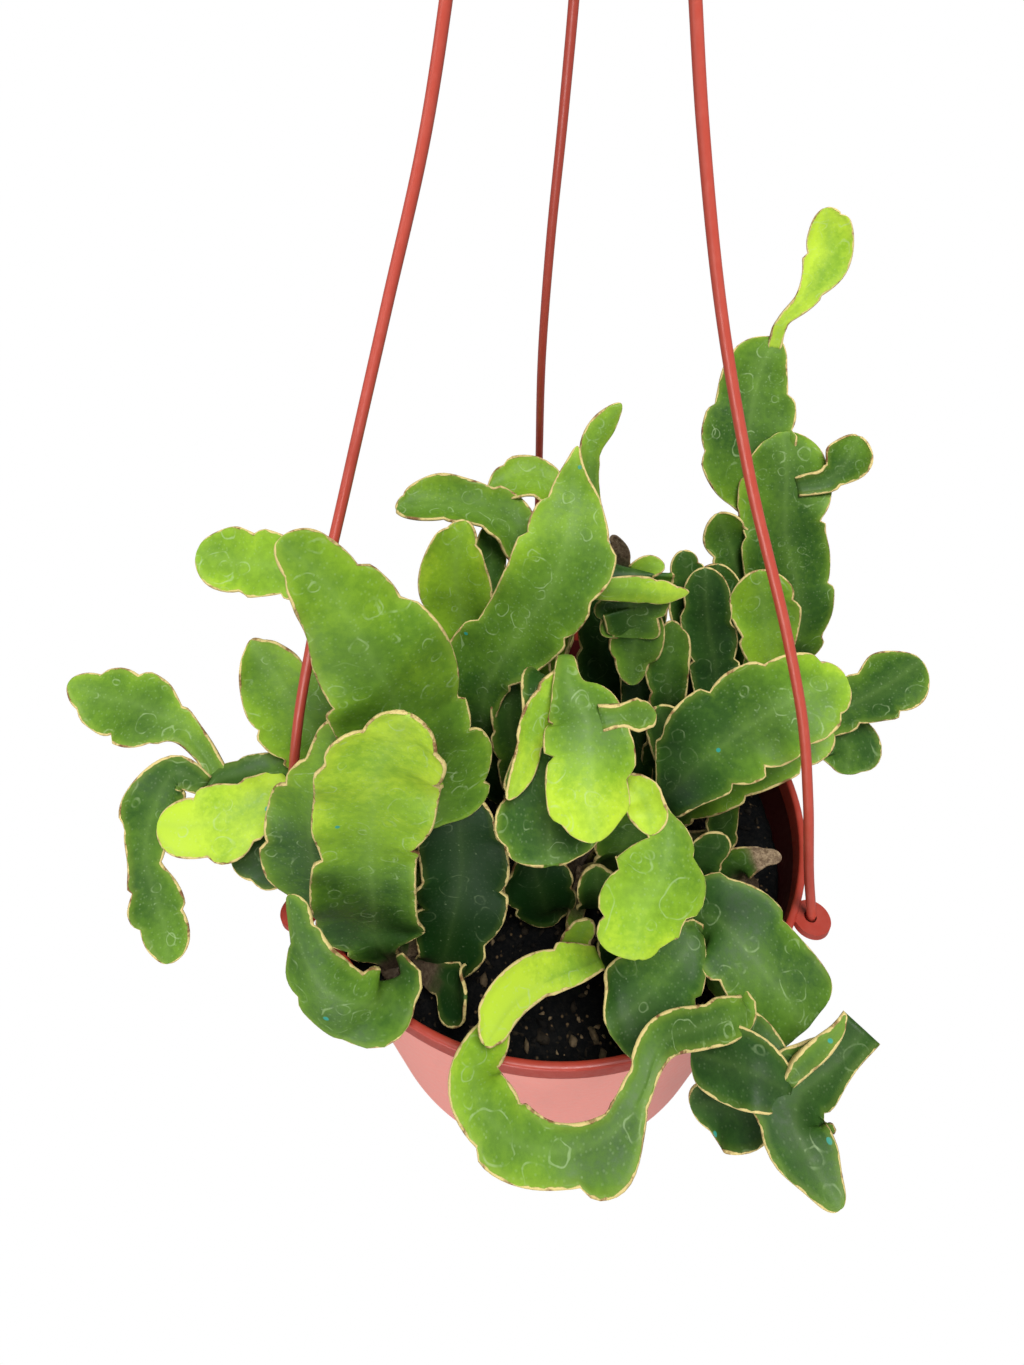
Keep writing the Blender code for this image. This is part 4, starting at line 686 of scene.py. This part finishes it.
def soil_material():
    """Dark, damp potting mix with bark chips and a few pale grains."""
    s = Shader("potting_soil")
    place = s.place()
    clumps = s.span(s.noise(place, 0.7, 5.0, 0.75), 0.4, 0.7)
    dark = s.mix(clumps, SOIL_BLACK, SOIL_BROWN)
    dark = s.mix(s.spots(s.cells(place, 0.75), (0.15, 0.4), 0.6, (0.78, 0.9)), dark, SOIL_CRUMB)
    bark = s.mix(s.noise(place, 0.8, 3.0), BARK_DARK, BARK_PALE)
    normal = s.bump(s.noise(place, 1.1, 6.0, 0.75), 0.8, 0.9)
    return s.finish(s.mix(s.value("chip"), dark, bark), 0.8, Normal=normal, Specular_IOR_Level=0.12)


def smooth_path(points, at):
    """The path's places and widths at the given shares of its length, which is also
    returned. The curve passes smoothly through every point."""
    points = np.asarray(points, float)
    dist = np.concatenate([[0.0], np.cumsum(np.linalg.norm(np.diff(points[:, :3], axis=0), axis=1))])
    slopes = np.gradient(points, dist, axis=0)
    s = np.asarray(at) * dist[-1]
    i = np.clip(np.searchsorted(dist, s, side="right") - 1, 0, len(dist) - 2)
    h = (dist[i + 1] - dist[i])[:, None]
    u = (s - dist[i])[:, None] / h
    rise = 3 * u**2 - 2 * u**3
    out = (points[i] * (1 - rise) + points[i + 1] * rise
           + (u**3 - 2 * u**2 + u) * h * slopes[i] + (u**3 - u**2) * h * slopes[i + 1])
    return out, dist[-1]


def unit(vectors):
    return vectors / np.maximum(np.linalg.norm(vectors, axis=-1, keepdims=True), 1e-9)


def facing(azimuth, elevation):
    """A unit vector, with azimuth 0 along -Y and 90 along +X, in degrees."""
    a, e = math.radians(azimuth), math.radians(elevation)
    return (math.sin(a) * math.cos(e), -math.cos(a) * math.cos(e), math.sin(e))


def notches(places, length, phase):
    """Where one margin's notches are along a blade: as listed, or spaced by a rule."""
    if places:
        return np.array([-LOBE_PITCH, *places, length + LOBE_PITCH])
    cuts = [-LOBE_PITCH * phase % LOBE_PITCH - LOBE_PITCH]
    while cuts[-1] < length:
        cuts.append(cuts[-1] + LOBE_PITCH * (1 + NOTCH_SPREAD * math.sin(7 * phase + 2.4 * len(cuts))))
    return np.array(cuts)


def lobe(s, cuts, half, phase):
    """How far the margin's lobes stand out at arc length s. Each one swells from the
    notch below it to a shoulder, and drops off sharply into the notch above it."""
    i = np.clip(np.searchsorted(cuts, s, side="right") - 1, 0, len(cuts) - 2)
    share = (s - cuts[i]) / (cuts[i + 1] - cuts[i])
    swell = np.sin(np.pi / 2 * np.minimum(share / LOBE_SWELL, 1)) ** LOBE_ROUND
    drop = np.clip((cuts[i + 1] - s) / LOBE_DROP, 0, 1)
    uneven = 0.7 + 0.6 * np.abs(np.sin(5 * phase + 1.7 * i))
    depth = np.minimum(LOBE_DEPTH, LOBE_SHARE * half) * uneven
    return (swell * np.sqrt(1 - (1 - drop) ** 2) - LOBE_INSET) * depth


def rolled(offsets, half, roll):
    """Sideways and forward places across a section whose margin rolls over by an
    angle, in degrees, towards the side that the blade's face looks to."""
    q = np.abs(offsets) / half
    ease = np.clip((q - ROLL_FROM) / (1 - ROLL_FROM), 0, 1)
    turn = np.radians(roll) * ease**2 * (3 - 2 * ease)
    steps = np.diff(np.abs(offsets), axis=1, prepend=0)
    middle = turn - np.diff(turn, axis=1, prepend=0) / 2
    return np.cumsum(steps * np.cos(middle), axis=1), np.cumsum(steps * np.sin(middle), axis=1)


def station_shares(path, tip):
    """Shares of a blade's length for its cross-sections, closer towards the tip."""
    reach = sum(math.dist(a[:3], b[:3]) for a, b in zip(path, path[1:]))
    body = max(reach - tip, reach * LEAST_BODY)
    steps = max(LEAST_STEPS, round(body / BLADE_STEP))
    turn = np.linspace(0, math.radians(TIP_TURN), TIP_STEPS + 1)[1:]
    return np.concatenate([np.linspace(0, body, steps + 1), body + (reach - body) * np.sin(turn)]) / reach


def spread(shares, rows):
    """Values between the rows of a list that is spread evenly along a blade."""
    rows = np.asarray(rows, float)
    place = shares * (len(rows) - 1)
    return np.stack([np.interp(place, range(len(rows)), column) for column in rows.T], axis=1)


def blade_frame(leaf, shares):
    """A blade's spine and half-widths, with its directions across and out."""
    stations, length = smooth_path(leaf.path, shares)
    spine = stations[:, :3]
    along = unit(np.gradient(spine, shares * length, axis=0))
    look = spread(shares, [facing(*face) for face in np.atleast_2d(leaf.faces)])
    look = unit(look - along * (look * along).sum(1, keepdims=True))
    return spine, stations[:, 3], stations[:, 4], np.cross(along, look), look, length


def tip_length(leaf):
    """How much of the blade's end its rounded tip takes."""
    return (leaf.path[-1][3] + leaf.path[-1][4]) * TIP_SHARE / leaf.blunt + TIP_LEAST


def margins(leaf, s, length, left, right, order):
    """The distance from the spine to the left and the right margin, with lobes."""
    end = np.clip((length - s) / tip_length(leaf), 0.0, 1.0)
    power = TIP_POWER * leaf.blunt
    taper = (1 - (1 - end) ** power) ** (1 / power)
    phase = order * PHASE_STEP
    reach = []
    for half, places, phase in ((left, leaf.left, phase), (right, leaf.right, phase + 0.5)):
        cuts = notches(places, length, phase)
        reach.append(np.maximum((half + lobe(s, cuts, half, phase)) * taper, LEAST_HALF))
    return reach


def columns_inward(half):
    """Distances in from a margin for a section's points, closest near the margin."""
    inset = [half * 0] + [np.minimum(most, half * share) for most, share in MARGIN_COLUMNS]
    rest = HALF_COLUMNS - len(MARGIN_COLUMNS)
    return inset + [inset[-1] + (half - inset[-1]) * k / rest for k in range(1, rest)]


def middle_sheet(leaf, shares, order, rng):
    """A blade's middle sheet: its points, how far each one is from the spine and how far
    the margin on its side is, with the face's direction and the place along the blade."""
    spine, left, right, side, look, length = blade_frame(leaf, shares)
    s = shares * length
    halves = margins(leaf, s, length, left, right, order)
    roll = spread(shares, leaf.roll or [(0, 0)])
    sections = []
    for sign, half, turn in zip((-1, 1), halves, roll.T):
        inward = np.stack([half * 0] + [half - d for d in columns_inward(half)[::-1]], axis=1)
        out, lift = rolled(inward, half[:, None], turn[:, None])
        left_to_right = slice(None, 0, -1) if sign < 0 else slice(None)
        sections.append([grid[:, left_to_right] for grid in (sign * out, lift, sign * inward)])
    sideways, forward, offsets = (np.concatenate(pair, axis=1) for pair in zip(*sections))
    half = np.where(offsets < 0, halves[0][:, None], halves[1][:, None])
    q = offsets / half

    s = s[:, None]
    broad = np.minimum(1.0, half / BROAD_HALF) ** 2
    waves = sum(size * np.sin(s / pitch + rng.uniform(0, 6) + lag * np.sign(q))
                for size, pitch, lag in WAVES)
    swell = SWELL * np.sin(s / SWELL_LENGTH + rng.uniform(0, 6) + 1.5 * q)
    forward = forward + leaf.cup * np.abs(offsets) * np.abs(q) + broad * (RUFFLE * q**2 * waves + swell)
    middle = spine[:, None] + side[:, None] * sideways[..., None] + look[:, None] * forward[..., None]
    return middle, offsets, half, look, s


def half_thickness(offsets, half, shares):
    """Half of a blade's thickness: its beaded margin, its midrib and its stout stalk."""
    bead = np.interp(half - np.abs(offsets), *BEAD)
    rib = RIB_H * np.exp(-((offsets / RIB_W) ** 2)) * np.clip(half / RIB_HALF, 0, 1)
    narrow, low = np.clip(1.5 - half / 3, 0, 1), np.clip(2 - 4 * shares, 0, 1)
    return (bead + rib + STALK_H * narrow * low) * np.clip(half / THIN_HALF, LEAST_HALF, 1.0)


def woody_share(leaf, s, shares, half):
    """How woody or dry a blade is: its stalk near the root, and a withered end."""
    rooted = leaf.path[0][2] <= ROOT_TOP
    low = np.clip((WOODY_LENGTH - s) / WOODY_FADE, 0, 1)
    woody = np.clip((STALK_HALF - half) / THIN_HALF, 0, 1) * low * rooted
    dried = np.clip((shares - 1 + leaf.dry) / DRY_FADE, 0, 1) * (leaf.dry > 0)
    return np.maximum(woody, dried)


def blade_tint(leaf, shares, middle):
    """How bright a blade's green is: brighter to its tip, and darker deep in the plant as painted shade."""
    tone = np.interp(shares, np.linspace(0, 1, np.size(leaf.tint)), np.atleast_1d(leaf.tint))
    inside = np.clip((RIM_R - np.hypot(middle[..., 0], middle[..., 1])) / INSIDE_SPAN, 0, 1)
    depth = np.clip((DEPTH_TOP - middle[..., 2]) / DEPTH_SPAN, 0, 1)
    return tone + TIP_LIGHT * (shares - 0.5) - DEPTH_SHADE * inside * depth


def looped(front, back):
    """Both sides of a blade, row by row, as loops that share the margins' columns."""
    loop = np.concatenate([front, back[:, -2:0:-1]], axis=1)
    return loop.reshape(-1, *loop.shape[2:])


def blade(leaf, order, rng):
    """A blade's shape. Each cross-section is a thin loop: the front from its left
    margin to its right one, and the back the other way."""
    shares = station_shares(leaf.path, tip_length(leaf))
    middle, offsets, half, look, s = middle_sheet(leaf, shares, order, rng)
    shares = shares[:, None]
    normal = unit(np.cross(np.gradient(middle, axis=0), np.gradient(middle, axis=1)))
    flip = np.sign((normal * look[:, None]).sum(-1, keepdims=True))
    normal = normal * np.where(flip == 0, 1, flip) * half_thickness(offsets, half, shares)[..., None]
    values = {"along": s, "across": offsets, "rim": half - np.abs(offsets),
              "tint": blade_tint(leaf, shares, middle), "wood": woody_share(leaf, s, shares, half),
              "plant": np.full_like(s, order * PLANT_STEP)}
    for key, grid in values.items():
        grid = np.broadcast_to(grid, offsets.shape)
        values[key] = looped(grid, grid)
    faces = loop_faces(len(s), 2 * offsets.shape[1] - 2)
    return looped(middle + normal, middle - normal), faces, values


def root(x, y, radius):
    """The woody root that a leafy stem's blades grow from."""
    points = []
    for i in range(ROOT_RINGS):
        share = i / (ROOT_RINGS - 1)
        z = ROOT_FOOT + (ROOT_TOP - ROOT_FOOT) * share
        for j in range(ROUND_STEPS):
            a = 2 * math.pi * j / ROUND_STEPS
            knots = 1 + ROOT_KNOTS * noise.noise(Vector((math.cos(a) * 2, math.sin(a) * 2, z * 0.2 + x)))
            r = radius * (ROOT_WAIST + ROOT_GROWTH * share) * min(knots, ROOT_MOST)
            points.append((x + r * math.cos(a), y + r * math.sin(a), z))
    values = {key: np.full(len(points), level) for key, level in ROOT_VALUES.items()}
    return np.array(points), loop_faces(ROOT_RINGS, ROUND_STEPS), values


def both_widths(leaf):
    """The blade with a left and a right half-width at every point of its path."""
    return leaf._replace(path=[row if len(row) == 5 else (*row, row[3]) for row in leaf.path])


def leafy_stem(node, place, blades, first, mat):
    """One leafy stem with its root, as one piece that stands for its node."""
    rng = random.Random(first)
    leaves = [blade(both_widths(leaf), first + count, rng) for count, leaf in enumerate(blades.values())]
    settle(mesh_object(node + "_blades", mat, joined([root(*place)] + leaves)), node)


def lathe(profile, steps):
    """A solid of revolution from (radius, z) points."""
    turns = [2 * math.pi * k / steps for k in range(steps)]
    points, faces, rings = [], [], []
    for r, z in profile:
        if r == 0:
            rings.append([len(points)] * steps)
            points.append((0.0, 0.0, z))
        else:
            rings.append(range(len(points), len(points) + steps))
            points += [(r * math.cos(turn), r * math.sin(turn), z) for turn in turns]
    for upper, lower in zip(rings, rings[1:]):
        for k in range(steps):
            n = (k + 1) % steps
            faces.append(tuple(dict.fromkeys((upper[k], lower[k], lower[n], upper[n]))))
    return np.array(points), faces, {}


def rounded(points, radius):
    """A profile whose inner corners are rounded."""
    out = [points[0]]
    for before, here, after in zip(points, points[1:], points[2:]):
        a, b, c = Vector(before), Vector(here), Vector(after)
        reach = min(radius, (a - b).length * EDGE_SHARE, (c - b).length * EDGE_SHARE)
        start, stop = b + (a - b).normalized() * reach, b + (c - b).normalized() * reach
        for i in range(EDGE_STEPS + 1):
            u = i / EDGE_STEPS
            p = start * (1 - u) ** 2 + b * 2 * u * (1 - u) + stop * u**2
            out.append((p.x, p.y))
    out.append(points[-1])
    return out


def wall_inner(z):
    """The pot's inner radius at height z, below the lip."""
    share = (-LIP_H - z) / (POT_H - CORNER - LIP_H)
    return WALL_TOP_R + (BASE_R - WALL_TOP_R) * share - WALL_T


def at_azimuth(radius, azimuth, z):
    a = math.radians(azimuth)
    return (radius * math.cos(a), radius * math.sin(a), z)


def bars(azimuths, out, z, radius, length, steps=HOLE_STEPS):
    """Upright round bars that stand in a circle, to join to a shape or to cut from it."""
    made = []
    for azimuth in azimuths:
        mesh = bpy.data.meshes.new("bar")
        bm = bmesh.new()
        bmesh.ops.create_cone(bm, cap_ends=True, segments=steps, radius1=radius * MM, radius2=radius * MM,
                              depth=length * MM)
        bm.to_mesh(mesh)
        bm.free()
        made.append(add_object("bar", mesh))
        made[-1].location = world(at_azimuth(out, azimuth, z))
    return made


def boolean(obj, others, operation):
    """Joins or cuts obj with the others, then removes them."""
    for other in others:
        step = obj.modifiers.new("shape", "BOOLEAN")
        step.operation = operation
        step.object = other
        step.solver = "EXACT"
    bpy.context.view_layer.update()
    depsgraph = bpy.context.evaluated_depsgraph_get()
    mesh = bpy.data.meshes.new_from_object(obj.evaluated_get(depsgraph))
    obj.modifiers.clear()
    obj.data = mesh
    for other in others:
        bpy.data.objects.remove(other, do_unlink=True)


def crease(mesh):
    """Smooth faces that meet in crisp edges."""
    mesh.shade_smooth()
    mesh.set_sharp_from_angle(angle=math.radians(SHARP_ANGLE))


def make_pot(mat):
    """The pot with its rolled lip, ears, strand holes and drainage holes."""
    floor = -POT_H + FLOOR_T
    inside = [(0, floor), (BASE_R - WALL_T - CORNER, floor), (BASE_R - WALL_T, floor + CORNER * 0.8),
              (wall_inner(-LIP_H), -LIP_H), (wall_inner(-LIP_H) + LIP_FLARE, 0)]
    outside = [(RIM_R, 0), (RIM_R - LIP_DRAFT, -LIP_H), (WALL_TOP_R, -LIP_H - LIP_STEP),
               (BASE_R, -POT_H + CORNER), (BASE_R - CORNER, -POT_H), (0, -POT_H)]
    pot = mesh_object("pot_shell", mat, lathe(rounded(inside + outside, EDGE_R), POT_STEPS))
    azimuths = EAR_AZIMUTHS.values()
    ear_z = EAR_TOP - EAR_T / 2
    boolean(pot, bars(azimuths, EAR_OUT, ear_z, EAR_R, EAR_T, EAR_STEPS), "UNION")
    holes = bars(azimuths, STRAND_BOW[0][0], ear_z, STRAND_R + EAR_HOLE_PLAY, EAR_T * THROUGH)
    drains = [360 * i / DRAINS for i in range(DRAINS)]
    holes += bars(drains, DRAIN_RING_R, -POT_H + FLOOR_T / 2, DRAIN_R, FLOOR_T * THROUGH)
    boolean(pot, holes, "DIFFERENCE")
    store_sides(pot.data)
    crease(pot.data)
    settle(pot, "pot")


def store_sides(mesh):
    """Marks the pot's outer wall and its inner wall, for their painted glare and painted shade."""
    places = np.empty(len(mesh.vertices) * 3)
    mesh.vertices.foreach_get("co", places)
    x, y, z = (places.reshape(-1, 3) / MM - (0.0, 0.0, RIM_Z)).T
    beyond = np.hypot(x, y) - wall_inner(z)
    store(mesh, "outside", (beyond > WALL_T / 2) & (z < -LIP_H))
    store(mesh, "inside", (beyond < WALL_T / 2) & (z < -LIP_H))


def soil_height(x, y):
    """Low mounds of a few sizes, with crumbs on them, in millimetres."""
    mounds = math.sin(x * 0.21 + 1.3) * math.cos(y * 0.17 + 0.4) + 0.5 * math.sin(x * 0.47 - y * 0.38)
    crumbs = noise.fractal(Vector((x * 0.22, y * 0.22, 0.0)), 0.8, 2.1, 4)
    return SOIL_Z + SOIL_ROUGH * mounds + CRUMB_H * crumbs


def soil_body(edge):
    """The soil's crumbled top and its plain sides."""
    rings = round(edge / SOIL_CELL)
    low = -POT_H + FLOOR_T + SOIL_GAP
    profile = [(0, SOIL_Z)] + [(edge * (i + 1) / rings, SOIL_Z) for i in range(rings)]
    profile += [(BASE_R - WALL_T - SOIL_GAP, low + CORNER), (BASE_R - WALL_T - CORNER - 2 * SOIL_GAP, low),
                (0, low)]
    points, faces, _ = lathe(profile, SOIL_STEPS)
    for point in points:
        if point[2] == SOIL_Z:
            point[2] = soil_height(point[0], point[1])
    return points, faces, {"chip": np.zeros(len(points))}


def chip_shape():
    """A small rough lump."""
    bm = bmesh.new()
    bmesh.ops.create_icosphere(bm, subdivisions=1, radius=1.0)
    rng = random.Random(LUMP_SEED)
    for vert in bm.verts:
        vert.co *= rng.uniform(0.75, 1.2)
    points = [vert.co.copy() for vert in bm.verts]
    faces = [tuple(vert.index for vert in face.verts) for face in bm.faces]
    bm.free()
    return points, faces


def bark_chip(rng, edge, lump, faces):
    """A lump that is made flatter, turned and laid somewhere on the soil."""
    r, a = edge * CHIP_REACH * math.sqrt(rng.random()), rng.uniform(0, 2 * math.pi)
    x, y = r * math.cos(a), r * math.sin(a)
    size = rng.choice(CHIP_SIZES)
    turn = Matrix.Rotation(rng.uniform(0, 6.28), 3, "Z") @ Matrix.Rotation(rng.uniform(-0.6, 0.6), 3, "X")
    stretch = Vector((size * rng.uniform(0.8, 1.6), size * rng.uniform(0.6, 1.0), size * CHIP_FLAT))
    rough = [p * rng.uniform(0.7, 1.25) for p in lump]
    points = np.array([turn @ (p * stretch) for p in rough])
    tone = rng.choice(CHIP_TONES) / (size + 0.5)
    return points + (x, y, soil_height(x, y) + size * CHIP_SUNK), faces, {"chip": np.full(len(lump), tone)}


def make_soil(mat):
    """The soil and the bark chips that lie on it."""
    edge = wall_inner(SOIL_Z) - SOIL_GAP
    rng = random.Random(CHIP_SEED)
    lump, faces = chip_shape()
    chips = [bark_chip(rng, edge, lump, faces) for _ in range(CHIPS)]
    settle(mesh_object("soil_bed", mat, joined([soil_body(edge)] + chips)), "soil")


def tube(points, radii):
    """A round bar along a path, with a radius at each point."""
    points = np.asarray(points, float)
    across = np.array((0.0, 1.0, 0.0))
    turn = (2 * np.pi * np.arange(ROUND_STEPS) / ROUND_STEPS)[:, None]
    rows = []
    for place, ahead, radius in zip(points, unit(np.gradient(points, axis=0)), radii):
        across = unit(across - ahead * across.dot(ahead))
        rows.append(place + radius * (np.cos(turn) * across + np.sin(turn) * np.cross(ahead, across)))
    return np.concatenate(rows), loop_faces(len(points), ROUND_STEPS), {}


def button(x, y, z):
    """A small domed knob at a strand's end."""
    flat, top, side = BUTTON_R * 0.6, BUTTON_T / 2, BUTTON_T * 0.1
    profile = [(0, top), (flat, top), (BUTTON_R, side), (BUTTON_R, -side), (flat, -top), (0, -top)]
    points, faces, _ = lathe(rounded(profile, BUTTON_EDGE), BUTTON_STEPS)
    return points + (x, y, z), faces, {}


def make_strand(side, azimuth, mat):
    """A bowed strand with its buttons."""
    points = [(r, lean, z) for (r, z), lean in zip(STRAND_BOW, STRAND_LEANS[side])]
    bow, _ = smooth_path(points, np.linspace(0, 1, STRAND_STEPS))
    path = []
    for r, lean, z in ((STRAND_BOW[0][0], 0, STRAND_FOOT), *bow):
        x, y, _ = at_azimuth(r, azimuth, z)
        path.append((x + lean, y, z))
    low_z = EAR_TOP - EAR_T - BUTTON_GAP - BUTTON_T / 2
    path.append((*path[-1][:2], HUB_Z + HUB_T + BUTTON_GAP + BUTTON_T / 2))
    radii = STRAND_R * np.linspace(*STRAND_TAPER, len(path))
    shape = joined([tube(path, radii), button(*path[0][:2], low_z), button(*path[-1])])
    settle(mesh_object("hanger_strand_" + side, mat, shape), "strand_" + side)


def make_hub(mat):
    """The disc that the strands end in, with their holes."""
    top, middle = HUB_Z + HUB_T, HUB_Z + HUB_T / 2
    profile = [(0, top), (HUB_R - HUB_EDGE, top), (HUB_R, middle), (HUB_R - HUB_EDGE, HUB_Z), (0, HUB_Z)]
    hub = mesh_object("hanger_hub", mat, lathe(rounded(profile, HUB_ROUND), HUB_STEPS))
    boolean(hub, bars(EAR_AZIMUTHS.values(), STRAND_BOW[-1][0], middle, STRAND_R + HUB_HOLE_PLAY,
                      HUB_T * THROUGH), "DIFFERENCE")
    crease(hub.data)
    settle(hub, "hook")


def make_hook(mat):
    """The open hook above the hub."""
    ring_r = HOOK_INNER_R + HOOK_WIRE_R
    centre_z = -RIM_Z - HOOK_INNER_R
    arc = [(0, 0, HUB_Z + HUB_T + height) for height in SHANK_HEIGHTS]
    for i in range(HOOK_STEPS + 1):
        a = math.radians(HOOK_START + (HOOK_END - HOOK_START) * i / HOOK_STEPS)
        arc.append((ring_r * math.cos(a), 0, centre_z + ring_r * math.sin(a)))
    hook = mesh_object("hanger_hook", mat, tube(arc, [HOOK_WIRE_R] * len(arc)))
    settle(hook, "hook")


def make_camera():
    """The photograph's viewpoint and lens."""
    data = bpy.data.cameras.new("camera")
    data.sensor_width = SENSOR
    data.lens = FOCAL_PX * SENSOR / PHOTO_LONG_SIDE
    data.shift_y = (PRINCIPAL_ROW - PHOTO_LONG_SIDE / 2) / PHOTO_LONG_SIDE
    data.clip_start = CLIP_START
    camera = add_object("camera", data)
    camera.matrix_world = Matrix.Translation(world(CAMERA_AT))
    for angle, axis in ((CAMERA_YAW, "Z"), (90 - CAMERA_PITCH, "X"), (CAMERA_ROLL, "Z")):
        camera.matrix_world @= Matrix.Rotation(math.radians(angle), 4, axis)
    bpy.context.scene.camera = camera


def make_light(name, offset, target_z, size, power):
    """A round soft light that shines at a point on the pot's axis."""
    data = bpy.data.lights.new(name, "AREA")
    data.shape = "DISK"
    data.size = size
    data.energy = power
    light = add_object(name, data)
    light.location = Vector(offset) + Vector((0, 0, target_z))
    light.rotation_euler = (-Vector(offset)).to_track_quat("-Z", "Y").to_euler()


def make_backdrop():
    """A plain white floor and surroundings, which light nothing themselves."""
    bm = bmesh.new()
    bmesh.ops.create_uvsphere(bm, u_segments=64, v_segments=32, radius=BACKDROP_R)
    for vert in bm.verts:
        vert.co.z = max(vert.co.z, pot_low.z - FLOOR_DROP)
    mesh = bpy.data.meshes.new("backdrop")
    bm.to_mesh(mesh)
    bm.free()
    pale = Shader("pale_backdrop")
    mesh.materials.append(pale.finish((0.0, 0.0, 0.0), 1.0, Emission_Color=(1.0, 1.0, 1.0),
                                      Emission_Strength=1.0, Specular_IOR_Level=0.0))
    backdrop = add_object("backdrop", mesh)
    for ray in ("diffuse", "glossy", "transmission", "shadow"):
        setattr(backdrop, "visible_" + ray, False)


def make_studio():
    """White surroundings and soft light from above and in front."""
    sky = bpy.data.worlds.new("studio")
    bpy.context.scene.world = sky
    sky.use_nodes = True
    background = sky.node_tree.nodes["Background"]
    background.inputs["Color"].default_value = (1.0, 1.0, 1.0, 1.0)
    background.inputs["Strength"].default_value = SKY_STRENGTH
    make_backdrop()
    for name, light in LIGHTS.items():
        make_light(name, *light)
    bpy.context.scene.view_settings.view_transform = "Standard"


def main():
    make_camera()
    make_studio()
    # The pot's outer wall gets painted glare and its inner wall painted shade.
    make_pot(plastic_material("terracotta_plastic", POT_RED, POT_WORN, 0.40,
                              {"outside": POT_WALL_PAINTED_GLARE, "inside": POT_SHADED}))
    make_soil(soil_material())
    hanger_plastic = plastic_material("hanger_plastic", HANGER_RED, HANGER_WORN, 0.34)
    for side, azimuth in EAR_AZIMUTHS.items():
        make_strand(side, azimuth, hanger_plastic)
    make_hub(hanger_plastic)
    make_hook(hanger_plastic)
    green = stem_material()
    first = 0
    for node, (place, blades) in STEMS.items():
        leafy_stem(node, place, blades, first, green)
        first += len(blades)


main()
